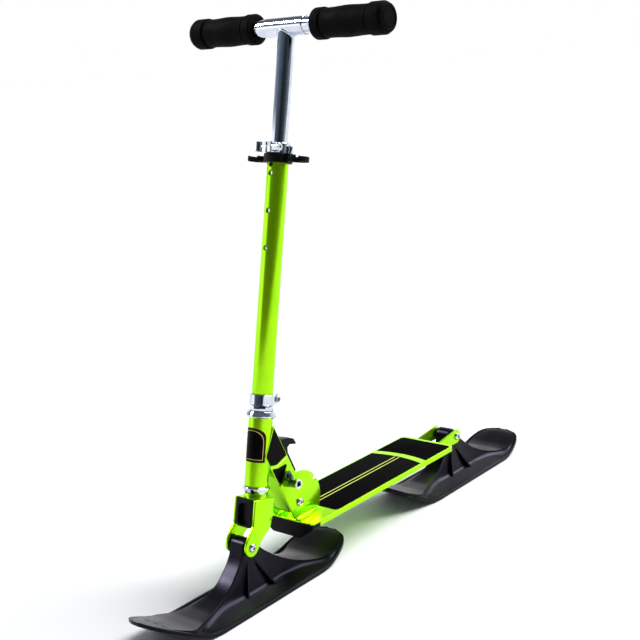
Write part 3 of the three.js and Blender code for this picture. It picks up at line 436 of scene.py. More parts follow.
ski = {
    "noseReach": 215, "tailReach": 207, "half": 53, "noseRise": 50, "tailRise": 24, "rimHeight": 6.5,
    "rimWidth": 4.5, "rimShare": 0.25, "plate": 4.4, "chamfer": 1.4, "crease": 15, "kneeShare": 0.566,
    "topHalf": 13, "footHalf": 20.5, "footSpread": 4.5, "crown": 12.5, "bore": 6, "ribThick": 3,
    "crownStart": radians(165), "crownEnd": radians(18),
    # shares of reach, half width, rise, strip, pivot height above the underside and crease above it
    "noseRows": [
        (1, 0.132, 1, 0.2, 0.067, 0.3), (0.967, 0.415, 0.92, 1.23, 0.071, 0.3),
        (0.907, 0.623, 0.776, 2.15, 0.077, 0.31), (0.828, 0.764, 0.59, 2.73, 0.085, 0.32),
        (0.758, 0.858, 0.43, 3.08, 0.102, 0.34), (0.688, 0.906, 0.266, 3.27, 0.129, 0.37),
        (0.623, 0.943, 0.13, 2.88, 0.178, 0.47), (0.549, 0.977, 0.032, 2.31, 0.212, 0.6),
        (0.456, 1, 0, 1.88, 0.232, 0.8), (0.363, 1, 0, 1.48, 0.273, 0.93), (0.279, 1, 0, 1.22, 0.339, 1),
        (0.205, 1, 0, 1.08, 0.457, 1), (0.149, 1, 0, 1.02, 0.604, 1), (0.093, 1, 0, 1, 0.774, 1),
        (0.0632, 1, 0, 1, 0.927, 1),
    ],
    "tailRows": [
        (0.07, 1, 0, 1, 1.006, 1), (0.135, 1, 0, 1, 0.841, 1), (0.222, 1, 0, 1.08, 0.656, 1),
        (0.338, 1, 0, 1.29, 0.456, 0.97), (0.459, 1, 0, 1.63, 0.3, 0.87), (0.57, 1, 0.01, 2.19, 0.207, 0.67),
        (0.657, 0.996, 0.108, 2.81, 0.151, 0.47), (0.734, 0.974, 0.3, 3.27, 0.117, 0.37),
        (0.812, 0.921, 0.55, 3.29, 0.095, 0.34), (0.889, 0.821, 0.775, 2.91, 0.083, 0.32),
        (0.952, 0.623, 0.925, 2.15, 0.076, 0.3), (1, 0.151, 1, 0.23, 0.067, 0.3),
    ],
    # gussets: top and foot as shares of the pivot height, and how far out the foot stands
    "ribs": [((-0.04, 0.76), (-0.3, 0.1), 0.55), ((0.1, 0.74), (0.45, 0.1), 0.58)],
    "slotAt": (-17, 0, 17), "slotHalf": 6, "slotWidth": 2.6, "slotBack": -181,
}


def skiCurves():
    rows = [(-ski["noseReach"] * row[0], ski["noseRise"], *row[1:]) for row in ski["noseRows"]]
    front = len(rows)
    rows += [(ski["tailReach"] * row[0], ski["tailRise"], *row[1:]) for row in ski["tailRows"]]
    places, rises, halves, lifts, strips, heights, creases = zip(*rows)
    under = [rise * lift for rise, lift in zip(rises, lifts)]
    tops = [(y, low + pivotHeight * height) for y, low, height in zip(places, under, heights)]
    radius = ski["crown"]
    crown = [(radius * cos(a), pivotHeight + radius * sin(a)) for a in (ski["crownStart"], ski["crownEnd"])]
    frontTop = smoothCurve(tops[:front] + [crown[0]])
    backTop = smoothCurve([crown[1]] + tops[front:])

    def topAt(y):
        if y <= crown[0][0]:
            return frontTop(y)
        if y >= crown[1][0]:
            return backTop(y)
        return pivotHeight + sqrt(radius ** 2 - y ** 2)

    def curve(values):
        return smoothCurve(list(zip(places, values)))

    return (curve([ski["half"] * share for share in halves]), curve(under),
            curve([ski["topHalf"] * share for share in strips]), topAt,
            curve([low + ski["crease"] * share for low, share in zip(under, creases)]))


def skiStations():
    # places of the sections, closer together at the tips and under the pivot
    places = [-ski["noseReach"], -214.4, -213.2, -211, -208.4, -205, -202]
    places += [-198 + 4 * i for i in range(42)] + [-30 + 1.5 * i for i in range(43)]
    places += [36 + 4 * i for i in range(38)] + [188, 192, 196, 199, 202, 204.4, 206.2, ski["tailReach"]]
    crown = [ski["crown"] * cos(a) for a in evenly(ski["crownEnd"], ski["crownStart"], 28)]
    return sorted({y for y in places if not -13.4 < y < 13.4} | set(crown))


def skiShell(name):
    curves = skiCurves()
    chamfer, rimTop = ski["chamfer"], ski["rimHeight"]
    vertices = []
    stations = skiStations()
    for y in stations:
        half, under, strip, top, crease = (curve(y) for curve in curves)
        rim = min(ski["rimWidth"], half * ski["rimShare"])
        foot = min(max(ski["footHalf"], strip + ski["footSpread"]), half - rim - chamfer)
        edge = min(strip, foot - chamfer / 2)
        tall = top - crease
        # across, up and rounding, from the sole over the rim and the plate to the top strip
        section = mirrored(eased([
            (half - chamfer * 3, under), (half - chamfer * 0.4, under, 1.2), (half, under + chamfer, 1),
            (half, under + rimTop, 1.3), (half - rim, under + rimTop, 1.2),
            (half - rim - chamfer / 2, under + ski["plate"], 1.6), (foot, crease, 5),
            (edge, crease + tall * ski["kneeShare"], min(8, tall * 0.4)), (edge, top, 1.6), (edge * 0.4, top),
        ]))
        vertices += [(x, y, z) for x, z in section]
    count, total = len(section), len(vertices)
    ends = [tuple(range(count)), tuple(range(total - 1, total - count - 1, -1))]
    return meshPiece(name, vertices, ends + wallFaces(len(stations), count))


def skiRib(side, top, foot, out):
    top, foot = Vector(top) * pivotHeight, Vector(foot) * pivotHeight
    run = (foot - top).normalized()
    across = Vector((-run.y, run.x)) * ski["ribThick"] / 2
    inner, head, reach = ski["topHalf"] / 2, ski["topHalf"] - gap, ski["half"] * out
    corners = [(inner, top), (head, top), (reach, foot), (inner, foot)]
    vertices = [(side * x, p.x + shift * across.x, p.y + shift * across.y)
                for shift in (-1, 1) for x, p in corners]
    faces = [(0, 1, 2, 3), (7, 6, 5, 4), (0, 4, 5, 1), (1, 5, 6, 2), (2, 6, 7, 3), (3, 7, 4, 0)]
    return meshPiece("skiRib", vertices, faces)


def buildSki(which, place, body):
    shell = skiShell(f"{which}SkiMoulding")
    weld(shell, *[skiRib(side, *rib) for rib in ski["ribs"] for side in (1, -1)])
    easeEdges(shell, 1.0, 3, 55)
    half, width, back = ski["slotHalf"], ski["slotWidth"], ski["slotBack"]
    slots = [rounded(rectangle((x - half, x + half), (back, back + width), width * 0.48), 3)
             for x in ski["slotAt"]]
    carve(shell, rod("skiBore", ski["bore"], -30, 30, centre=(0, pivotHeight), steps=48),
          *[prism("noseSlot", slot, 35.5, 60, "z") for slot in slots])
    finish(shell, place, "ski_polyethylene", body, f"{which}_ski", sharp=40)


buildSki("front", sidePlace, "front_ski_body")
buildSki("rear", rearPlace, "rear_ski_body")
print("skis built")


# Axles: domed bolt, locking nut and washers

axle = {"radius": 4, "head": 6.4, "headHeight": 3.4, "nutHeight": 5.2, "washer": 9}


def domedBolt(name, size, reach, centre, place, body, node):
    head, height = size["head"], size["headHeight"]
    dome = [(0, reach), (head - 0.3, reach), (head, reach + 0.4), (head, reach + height * 0.25)]
    dome += [(head * cos(a), reach + height * (0.25 + 0.75 * sin(a)))
             for a in (radians(12 * i) for i in range(1, 7))]
    bolt = turned(name, dome + [(0, reach + height)], 64, "x", centre)
    gather(bolt, rod("shank", size["radius"], -reach - height, reach + 0.2, "x", centre, 0.5, 48))
    carve(bolt, prism("socket", hexagon(centre, head * 0.38), reach + height * 0.45, reach + height + 1))
    finish(bolt, place, "chrome_plate", body, node)


def lockingNut(name, size, reach, centre, place, body, node):
    bore, radius, height = size["radius"] + gap, size["head"], size["nutHeight"]
    end, shoulder = -reach - height, -reach - height * 0.7
    nut = prism(name, hexagon(centre, radius), -reach - height * 0.78, -reach)
    crown = [(bore, end, 0.5), (radius * 0.72, end, 0.5), (radius * 0.8, shoulder, 0.5),
             (bore, shoulder, 0.5)]
    carve(nut, drill(bore, end - 3, -reach + 3, "x", centre))
    easeEdges(nut, 0.35)
    gather(nut, turned("nutCrown", rounded(crown, 3), 64, "x", centre))
    finish(nut, place, "zinc_steel", body, node)


def buildAxle(which, place, body, inner, outer):
    centre = (0, pivotHeight)
    domedBolt(f"{which}AxleBolt", axle, outer + gap, centre, place, body, f"{which}_ski_bolt")
    lockingNut(f"{which}AxleNut", axle, outer + gap, centre, place, body, f"{which}_ski_nut")
    for name, side in (("left", 1), ("right", -1)):
        low, high = onSide(side, ski["topHalf"] + gap, inner - gap)
        washer = ring(f"{which}{name}Washer", axle["washer"], axle["radius"] + gap, low, high, "x", centre,
                      0.6, 64)
        finish(washer, place, "black_plastic", body, f"{name}_{which}_ski_washer")


# Deck, grip panels, bumper and rear arms

deck = {"front": 100, "toPivot": 58, "drop": 25.9, "half": 54.5, "frontRound": 6, "rearRound": 10,
        "sheet": 2.5, "flange": 8.5, "ribAt": 22, "ribWidth": 3, "fold": 2.2}
deckTop = foldHeight - deck["drop"]
deckRear = wheelbase - deck["toPivot"]
panel = {"half": 52, "front": 162.5, "round": 8, "frontLength": 233, "gap": 16, "sag": 16, "margin": 7,
         "thick": 0.6, "stripeAt": (-5, 3), "stripeWidth": 1.6, "stripeInset": 4, "film": 0.16}
bumper = {"front": 99.5, "depth": 18.5, "drop": 28, "bottomHalf": 28, "shoulderDrop": 9, "round": 5}
arm = {"outer": 24, "plate": 3, "overlap": 28, "rootDrop": 15, "eye": 12.5, "eyeEnd": 0.53}


def deckPlan(inset, rearInset):
    half = deck["half"] - inset
    return rounded(mirrored([(half, deck["front"] + inset, deck["frontRound"]),
                             (half, deckRear + rearInset, deck["rearRound"])]), 8)


def buildDeck():
    bottom, under = deckTop - deck["flange"], deckTop - deck["sheet"]
    plate = prism("deckPressing", deckPlan(0, 0), bottom, deckTop, "z")
    behindBumper = bumper["front"] + bumper["depth"] + gap
    carve(plate,
          prism("deckHollow", deckPlan(deck["sheet"], 4), bottom - 5, under, "z"),
          block("bumperRoom", (-80, 80), (80, behindBumper), (bottom - 5, under)))
    easeEdges(plate, deck["fold"], 4, 50)
    half = deck["ribWidth"] / 2
    gather(plate, *[block("deckRib", (x - half, x + half), (behindBumper, deckRear - arm["overlap"]),
                          (bottom, under + 0.5)) for x in (-deck["ribAt"], deck["ribAt"])])
    finish(plate, sidePlace, "lime_paint", "frame", "deck", sharp=40)


def panelEdge(y, steps=28):
    # A curved edge across the deck that bows rearwards in the middle
    shares = [1 - 2 * i / steps for i in range(steps + 1)]
    return [(panel["half"] * share, y + panel["sag"] * (1 - share ** 2) / 2) for share in shares]


def gripPanel(name, corners, edge, node):
    sheet = prism(name, rounded(corners, 8) + edge, deckTop, deckTop + panel["thick"], "z")
    easeEdges(sheet, 0.25, 2, 30)
    finish(sheet, sidePlace, "deck_tape", "frame", node)


def buildPanels():
    half, corner, front = panel["half"], panel["round"], panel["front"]
    split = front + panel["frontLength"]
    gripPanel("frontGripPanel", [(-half, split, 0), (-half, front, corner), (half, front, corner),
                                 (half, split, 0)], panelEdge(split)[1:-1], "deck_grip_front")
    start, end = split + panel["gap"], deckRear - panel["margin"]
    gripPanel("rearGripPanel", [(half, start, 0), (half, end, corner), (-half, end, corner),
                                (-half, start, 0)], panelEdge(start)[-2:0:-1], "deck_grip_rear")
    low, inset = deckTop + panel["thick"], panel["stripeInset"]
    for index, x in enumerate(panel["stripeAt"]):
        stripe = block(f"deckPinstripe{index}", (x, x + panel["stripeWidth"]), (front + inset, split + inset),
                       (low, low + panel["film"]))
        finish(stripe, sidePlace, "lime_paint", "frame", material=vinyls["pale"])


def buildBumper():
    top = deckTop - deck["sheet"] - gap
    outline = rounded(mirrored([(bumper["bottomHalf"], deckTop - bumper["drop"], bumper["round"]),
                                (deck["half"], deckTop - bumper["shoulderDrop"], bumper["round"]),
                                (deck["half"], top, 0.8)]), 6)
    piece = prism("frontBumperMoulding", outline, bumper["front"], bumper["front"] + bumper["depth"], "y")
    easeEdges(piece, 1.2, 3)
    finish(piece, sidePlace, "black_plastic", "frame", "front_bumper")


def buildRearArm(name, side):
    eye = (wheelbase, pivotHeight)
    under, start = deckTop - deck["sheet"] - gap, deckRear - arm["overlap"]
    outline = [(start, deckTop - arm["rootDrop"])]
    outline += arc(eye, arm["eye"], -pi * arm["eyeEnd"], pi * arm["eyeEnd"], 24)
    outline += [(deckRear + gap, deckTop), (deckRear + gap, under), (start, under)]
    low, high = onSide(side, arm["outer"] - arm["plate"], arm["outer"])
    piece = prism(f"{name}RearArm", outline, low, high)
    carve(piece, drill(axle["radius"] + gap, low - 3, high + 3, "x", eye))
    easeEdges(piece, 0.5)
    finish(piece, sidePlace, "lime_paint", "frame", f"{name}_rear_arm")


buildDeck()
buildPanels()
buildBumper()
buildRearArm("left", 1)
buildRearArm("right", -1)
print("deck built")


# Fold hinge: sector plates, pivot bolt and lock

sector = {
    "inner": 19, "plate": 3, "arc": 49.5, "frontBottomAhead": 15, "frontTopAhead": 41.5, "frontTopHigh": 39.6,
    "horn": 50.4, "hornTip": 9, "footWidth": 7, "footPlate": 2.5, "footBend": 2.2, "frontRise": 5.5,
    "notchHalf": 5.6, "notchReach": 42.8, "arcEnd": radians(76), "nickAngle": radians(35), "nickRadius": 4.4,
    "nickReach": 47.5,
}
foldBolt = {"radius": 4, "head": 6.6, "headHeight": 3.6, "nutHeight": 3.6}


def buildSector(name, side):
    footTop, horn, tip = deckTop + sector["footPlate"], sector["horn"], sector["hornTip"]
    start = atan2(footTop - foldHeight, sqrt(sector["arc"] ** 2 - (footTop - foldHeight) ** 2))
    rearFoot = sector["arc"] * cos(start)
    # behind and above the fold pivot, with each corner's rounding
    outline = [(rearFoot, deckTop - foldHeight, 0)]
    outline += [(*p, 0) for p in arc((0, 0), sector["arc"], start, sector["arcEnd"], 36)]
    outline += [(-tip, horn, 3), (-tip * 3, horn - tip * 0.3, 6),
                (-sector["frontTopAhead"], sector["frontTopHigh"], 3),
                (-sector["frontBottomAhead"], deckTop + sector["frontRise"] - foldHeight, 2),
                (deck["front"] - foldBack, deckTop - foldHeight, 0)]
    outline = [(foldBack + x, foldHeight + y, rounding) for x, y, rounding in outline]
    inner, outer = sector["inner"], sector["inner"] + sector["plate"]
    piece = prism(f"{name}HingeSector", rounded(outline, 5), *onSide(side, inner, outer))
    through = onSide(side, inner - 2, outer + 2)
    half = sector["notchHalf"]
    notch = arc((0, sector["notchReach"]), half, pi, 2 * pi, 16) + [(half, 80), (-half, 80)]
    nick = arc(foldPoint, sector["nickReach"], sector["nickAngle"], pi, 1)[0]
    carve(piece, neckPrism("notch", notch, *through), drill(sector["nickRadius"], *through, "x", nick, 32),
          drill(foldBolt["radius"] + gap, *through, "x", foldPoint))
    easeEdges(piece, 0.5)
    # folded foot with a bend radius where it leaves the plate
    fold, edge = sector["footBend"], outer - 0.6
    section = [(edge, deckTop + 0.02), (outer + sector["footWidth"], deckTop + 0.02),
               (outer + sector["footWidth"], footTop), (outer + fold, footTop)]
    section += arc((outer + fold, footTop + fold), fold, -pi / 2, -pi, 6)[1:] + [(edge, footTop + fold)]
    section = [(side * x, z) for x, z in section]
    foot = prism("sectorFoot", section, deck["front"] + 1, foldBack + rearFoot, "y")
    easeEdges(foot, 0.4, 2, 50)
    gather(piece, foot)
    finish(piece, sidePlace, "lime_paint", "frame", f"{name}_hinge_sector")


buildSector("left", 1)
buildSector("right", -1)
hingeFace = sector["inner"] + sector["plate"] + gap
domedBolt("foldPivotBolt", foldBolt, hingeFace, foldPoint, sidePlace, "frame", "fold_pivot_bolt")
lockingNut("foldPivotNut", foldBolt, hingeFace, foldPoint, sidePlace, "frame", "fold_pivot_nut")

lock = {
    "pivot": 57.4, "bolt": 3, "head": 5, "headHeight": 2.8, "link": 2.5, "linkRadius": 7.6, "sleeve": 7,
    "sleeveBore": 4.5, "sleeveLength": 11, "nut": 7.6, "nutLength": 2.6,
    # lever corners: behind the fold pivot, along the neck and rounding
    "leverHalf": 8, "lever": [
        (0, 49.4, 4), (19.5, 36, 3), (30.5, 36, 3), (30.5, 73, 6), (36, 85, 3), (47, 76, 2), (53, 71, 1.5),
        (52, 83, 5), (36.5, 98, 4), (27.5, 104, 3), (22.5, 101, 3), (22.5, 73, 4), (0, 65.4, 4),
        (-8, 57.4, 4)],
    "padHalf": 12.5, "pad": [(22.5, 85, 1), (36, 85, 2), (36.5, 98, 4), (27.5, 104, 3), (22.5, 101, 3)],
}


def buildLock():
    face = hingeFace + lock["link"] + gap
    eye, pin = onNeck(0, lock["pivot"]), onNeck(0, sector["notchReach"])
    lever = neckPrism("lockLever", rounded(lock["lever"], 6), -lock["leverHalf"], lock["leverHalf"])
    weld(lever, neckPrism("leverPad", rounded(lock["pad"], 6), -lock["padHalf"], lock["padHalf"]))
    carve(lever, drill(lock["bolt"] + gap, -20, 20, "x", eye))
    easeEdges(lever, 1.0, 3)
    finish(lever, sidePlace, "black_plastic", "lock", "lock_lever")
    half = face + lock["headHeight"]
    bolt = rod("lockPivotBolt", lock["bolt"], -half + 0.4, half - 0.4, "x", eye, 0.3, 48)
    gather(bolt, *[rod("boltHead", lock["head"], *onSide(side, face, half), "x", eye, 0.8, 6)
                   for side in (1, -1)])
    finish(bolt, sidePlace, "black_steel", "lock", "lock_pivot_bolt")
    radius = lock["linkRadius"]
    outline = arc((0, lock["pivot"]), radius, 0, pi, 20)
    outline += arc((0, sector["notchReach"]), radius, pi, 2 * pi, 20)
    for name, side in (("left", 1), ("right", -1)):
        low, high = onSide(side, hingeFace, hingeFace + lock["link"])
        link = neckPrism(f"{name}LockLink", outline, low, high)
        carve(link, drill(lock["bolt"] + gap, low - 3, high + 3, "x", eye))
        easeEdges(link, 0.4)
        # painted shade: the lock links take the darker copy of the lime coat
        finish(link, sidePlace, "dark_lime_paint", "lock", f"{name}_lock_link")
    end = face + lock["sleeveLength"]
    for name, low, high in (("left", face, end), ("right", -face - lock["sleeveLength"] / 2, -face)):
        sleeve = ring(f"{name}LockSleeve", lock["sleeve"], lock["sleeveBore"], low, high, "x", pin, 0.5)
        # painted shade: the lock sleeves take the darker copy of the lime coat
        finish(sleeve, sidePlace, "dark_lime_paint", "lock", f"{name}_lock_sleeve")
    low = end + gap
    nut = ring("lockRingNut", lock["nut"], lock["sleeveBore"], low, low + lock["nutLength"], "x", pin, 0.7)
    finish(nut, sidePlace, "chrome_plate", "lock", "lock_ring_nut")


buildLock()
print("fold hinge built")


# Neck with head tube, its films and label

neck = {"half": 18.5, "depth": 19.5, "wall": 2.5, "rearEnd": 140.4, "frontEnd": 112}
headTube = {"start": 17.5, "end": 120, "radius": 18, "bore": 15.5}
# two black films on each cheek and the pale line between them, as the lever's corners
film = {
    "thick": 0.16,
    "upper": [(18.4, 137, 1), (-18.4, 110.5, 1), (-18.4, 93, 2), (-7, 85, 6), (18.4, 82, 2)],
    "lower": [(14, 70, 4), (-7, 78, 8), (-18.4, 86, 2), (-18.4, 50, 6)],
    "stripe": [(18.4, 79.6, 0), (18.4, 78.2, 0), (-7, 80.8, 8), (-18.4, 88.8, 0), (-18.4, 90.4, 0),
               (-7, 82.2, 8)],
}
label = {"low": 54, "high": 105, "halfAngle": radians(76), "thick": 0.18, "archDrop": 15, "archPower": 2.4,
         "columns": 48, "rows": 16}


def buildNeck():
    outline = [(neck["depth"], neck["rearEnd"]), (-neck["depth"], neck["frontEnd"])]
    outline += arc((0, 0), neck["depth"], pi, 2 * pi, 28)
    shell = neckPrism("neckChannel", outline, -neck["half"], neck["half"])
    inside, wallAt = neck["depth"] - neck["wall"], neck["half"] - neck["wall"]
    carve(shell, neckPrism("neckInside", rounded(rectangle((-inside, 30), (-30, neck["rearEnd"] + 5)), 5),
                           -wallAt, wallAt))
    easeEdges(shell, 1.0, 3, 50)
    low, high = headTube["start"], headTube["end"]
    outside = rod("headTube", headTube["radius"], low, high, "z", edge=0.5, steps=96)
    bore = drill(headTube["bore"], low - 5, high + 5, "z", steps=96)
    for item in (outside, bore):
        item.data.transform(sidePlace.inverted() @ columnPlace)
    weld(shell, outside)
    carve(shell, bore, drill(foldBolt["radius"] + gap, -30, 30, "x", foldPoint),
          drill(lock["bolt"] + gap, -30, 30, "x", onNeck(0, lock["pivot"])))
    finish(shell, sidePlace, "lime_paint", "neck", "neck_frame", sharp=36)


def buildNeckFilms(name, side):
    span = onSide(side, neck["half"], neck["half"] + film["thick"])
    for index, (part, ink, slot) in enumerate((("upper", "black", "black_plastic"),
                                               ("lower", "black", "black_plastic"),
                                               ("stripe", "pale", "lime_paint"))):
        piece = neckPrism(f"{name}NeckFilm{index}", rounded(film[part], 6), *span)
        finish(piece, sidePlace, slot, "neck", material=vinyls[ink])


def labelTop(share, inset):
    # arched top: full height in the middle, lower at the sides
    u = min(abs(share * (1 - inset / 26)) / (1 - inset / 24), 1)
    return label["high"] - inset - label["archDrop"] * (1 - sqrt(max(1 - u ** label["archPower"], 0)))


def wrappedFilm(name, inset, outset, ink):
    # a label bent round the head tube: two layers of points, then the walls round their border
    columns, rows = label["columns"], label["rows"]
    radius, low = headTube["radius"], label["low"] + inset
    span = label["halfAngle"] - inset / radius
    vertices = []
    for layer in (radius + outset + label["thick"], radius - 0.05):
        for i in range(columns + 1):
            share = -1 + 2 * i / columns
            angle = -pi / 2 + share * span
            for height in evenly(low, labelTop(share, inset), rows):
                vertices.append((layer * cos(angle), layer * sin(angle), height))
    per, tall = len(vertices) // 2, rows + 1
    faces = []
    for i in range(columns):
        for a in range(i * tall, i * tall + rows):
            faces.append((a, a + tall, a + tall + 1, a + 1))
            faces.append((per + a, per + a + 1, per + a + tall + 1, per + a + tall))
    border = [i * tall for i in range(columns + 1)] + [columns * tall + j for j in range(1, tall)]
    border += [i * tall + rows for i in range(columns - 1, -1, -1)] + list(range(rows - 1, 0, -1))
    for a, b in zip(border, border[1:] + border[:1]):
        faces.append((a, per + a, per + b, b))
    finish(meshPiece(name, vertices, faces), columnPlace, "black_plastic", "neck", material=vinyls[ink])


buildNeck()
buildNeckFilms("left", 1)
buildNeckFilms("right", -1)
wrappedFilm("headLabel", 0, 0, "maroon")
wrappedFilm("headLabelBorder", 3.8, 0.06, "pale")
wrappedFilm("headLabelField", 4.5, 0.12, "black")
print("neck built")


# Fork, bump stop and headset

fork = {
    "half": 21, "plate": 4, "crown": 5, "front": 23, "back": 18.5, "shoulder": 37, "eye": 14, "knee": 45,
    "steerer": 13.8, "steererBore": 11, "steererTop": 190, "race": 17, "raceHeight": 6.5, "edge": 0.8,
}
stop = {"drop": 43, "depth": 15, "toe": 3.7, "round": 8, "recessHalf": 12, "recessHigh": 16.5,
        "recessRound": 9, "recessDepth": 7}


def buildFork():
    local = columnPlace.inverted() @ Vector((0, frontPivot.y, frontPivot.z))
    eye, front, back, radius = (local.y, local.z), fork["front"], fork["back"], fork["eye"]
    blade = [(-front, 0)] + bend(Vector((-front, -fork["shoulder"])),
                                 Vector((eye[0] - radius, eye[1] + radius * 0.75)),
                                 Vector((eye[0] - radius, eye[1])), 12)
    blade += arc(eye, radius, pi, pi * 1.87, 24)[1:]
    rear = smoothCurve([(0, eye[1] + radius * 0.8), (back * 0.75, -fork["knee"]),
                        (back, -fork["knee"] * 0.6)])
    blade += [(x, rear(x)) for x in evenly(0, back, 10)] + [(back, 0)]
    inner = fork["half"] - fork["plate"]
    body = prism("forkPressing", blade, inner, fork["half"])
    crown = rectangle((stop["toe"] + gap - front, back), (-fork["crown"], 0))
    weld(body, prism("forkBlade", blade, -fork["half"], -inner),
         prism("forkCrown", crown, -inner - 1, inner + 1))
    carve(body, drill(axle["radius"] + gap, -40, 40, "x", eye))
    easeEdges(body, fork["edge"], 3, 50)
    bore, outside, race = fork["steererBore"], fork["steerer"], fork["race"]
    gather(body, turned("steerer", rounded([
        (bore, 0.5, 0), (bore, fork["steererTop"], 0.5), (outside, fork["steererTop"], 0.5),
        (outside, fork["raceHeight"], 0.8), (race, fork["raceHeight"], 0.8), (race + 0.6, 0.05, 0)], 3)))
    finish(body, columnPlace, "lime_paint", "steering", "fork", sharp=36)


def buildBumpStop():
    inner, front, drop = fork["half"] - fork["plate"] - gap, -fork["front"], stop["drop"]
    back, toe, under = stop["depth"] - fork["front"], stop["toe"] - fork["front"], -fork["crown"] - gap
    side = [(front, -drop), (back, -drop), (back, under), (toe, under), (toe, 0), (front, 0)]
    piece = prism("bumpStop", side, -inner, inner)
    outline = rounded([(-inner, -drop, stop["round"]), (inner, -drop, stop["round"]), (inner, 20, 0),
                       (-inner, 20, 0)], 8)
    combine(piece, [prism("stopFront", outline, -60, 60, "y")], "INTERSECT")
    easeEdges(piece, 0.7, 3, 50)
    middle = -(drop + fork["crown"]) / 2
    half, high = stop["recessHalf"], stop["recessHigh"]
    mouth = rounded(rectangle((-half, half), (middle - high, middle + high), stop["recessRound"]), 10)
    carve(piece, prism("stopRecess", mouth, front - 3, stop["recessDepth"] - fork["front"], "y"))
    finish(piece, columnPlace, "black_plastic", "steering", "fork_bump_stop")


headset = {"lowerStart": 6.8, "lowerRadius": 21, "upperHeight": 9.6, "upperRadius": 23, "flange": 3.4,
           "taper": 3, "insert": 9, "nutHeight": 8, "nut": 18}


def buildCup(name, seat, away, height, radius, skirt, node):
    bore, insert = fork["steerer"] + gap, headTube["bore"] - gap
    far, lip, deep = seat + away * height, seat + away * headset["flange"], seat - away * headset["insert"]
    corners = [(bore, deep, 0), (insert, deep, 0), (insert, seat, 0), (radius - skirt, seat, 0.4),
               (radius, seat + away * headset["flange"] / 2, 0.8), (radius, lip, 0.8),
               (radius - headset["taper"], far, 1), (bore, far, 0.6)]
    finish(turned(name, rounded(corners, 4)), columnPlace, "chrome_plate", "neck", node, sharp=40)


def buildHeadset():
    seat, taper = headTube["start"] - gap, headset["taper"]
    buildCup("lowerHeadsetCup", seat, -1, seat - headset["lowerStart"], headset["lowerRadius"], taper,
             "lower_headset_cup")
    buildCup("upperHeadsetCup", headTube["end"] + gap, 1, headset["upperHeight"], headset["upperRadius"],
             taper / 2, "upper_headset_cup")
    low = headTube["end"] + headset["upperHeight"] + 2 * gap
    high = low + headset["nutHeight"]
    nut = prism("headsetLocknut", arc((0, 0), headset["nut"], 0, 2 * pi * 11 / 12, 11), low, high, "z")
    carve(nut, drill(fork["steerer"] + gap, low - 3, high + 3, "z", steps=96))
    easeEdges(nut, 0.6, 2, 25)
    finish(nut, columnPlace, "chrome_plate", "steering", "headset_locknut", sharp=25)


buildFork()
buildBumpStop()
buildHeadset()
buildAxle("front", sidePlace, "steering", fork["half"] - fork["plate"], fork["half"])
buildAxle("rear", rearPlace, "frame", arm["outer"] - arm["plate"], arm["outer"])
print("fork, headset and axles built")


# Column: lower tube, collars, clip, quick release and bar

tube = {"start": 141, "end": 524, "radius": 15.9, "bore": 14.1, "hole": 4,
        "holes": (370.9, 425.5, 480.3, 492.9)}
pinch = {"start": 138.8, "height": 16, "radius": 19, "earHalf": 8, "earReach": 28, "slot": 1.6, "bolt": 23.2,
         "rod": 2.6, "head": 4.6, "nutLength": 2.3, "socket": 2.3}
release = {"height": 15.7, "radius": 18.6, "earHalf": 9, "earReach": 27.5, "slot": 1.6, "bolt": 22, "rod": 3,
           "nut": 6, "nutLength": 12.5, "socket": 2.6, "socketDepth": 4, "barrelAt": 19.5, "barrel": 6.5,
           "barrelHeight": 15, "leverHeight": 9, "leverThick": 3.4, "leverTip": 1.6, "leverClear": 2.6,
           "leverEnd": radians(150), "leverSteps": 40}
clip = {"start": 495.6, "height": 13.3, "collar": 21.5, "jawAt": 39.5, "jawBore": 13, "jaw": 15.5,
        "jawRise": 2, "jawHeight": 8, "mouthHalf": 9, "arm": 8, "screwAt": 22.8, "screw": 3.75,
        "screwHeight": 11, "socket": 1.9, "bossHalf": 6.5}
tubeBore = tube["radius"] + gap


def buildLowerTube():
    piece = ring("lowerSteeringTube", tube["radius"], tube["bore"], tube["start"], tube["end"], "z", edge=0.4,
                 steps=128)
    carve(piece, *[drill(tube["hole"], -tube["radius"] - 4, 0, "y", (0, height), 40)
                   for height in tube["holes"]])
    finish(piece, columnPlace, "lime_paint", "steering", "lower_steering_tube", sharp=40)


def splitCollar(name, size, start, side, node):
    end, half = start + size["height"], size["earHalf"]
    collar = rod(name, size["radius"], start, end, "z", edge=0.8, steps=96)
    ear = rounded(rectangle((-half, half), onSide(side, tubeBore, size["earReach"]), 1.5), 4)
    weld(collar, prism("collarEar", ear, start + gap, end - gap, "z"))
    low, high = start - 3, end + 3
    carve(collar, drill(tubeBore, low, high, "z", steps=96),
          block("collarSlot", (-size["slot"], size["slot"]), onSide(side, 0, size["earReach"] + 4),
                (low, high)),
          drill(size["rod"] + gap, -30, 30, "x", (side * size["bolt"], (start + end) / 2), 40))
    easeEdges(collar, 0.4, 2, 45)
    finish(collar, columnPlace, "chrome_plate", "steering", node, sharp=36)


def buildPinchBolt():
    centre, reach = (pinch["bolt"], pinch["start"] + pinch["height"] / 2), pinch["earHalf"] + gap
    bolt = rod("pinchBolt", pinch["rod"], -reach - 2.2, reach + 2, "x", centre, 0.3, 40)
    head = rod("pinchHead", pinch["head"], reach, reach + pinch["head"], "x", centre, 0.6, 48)
    carve(head, prism("pinchSocket", hexagon(centre, pinch["socket"]), reach + 2, reach + 9))
    gather(bolt, head, prism("pinchNut", hexagon(centre, pinch["head"]), -reach - pinch["nutLength"], -reach))
    finish(bolt, columnPlace, "zinc_steel", "steering", "pinch_bolt")


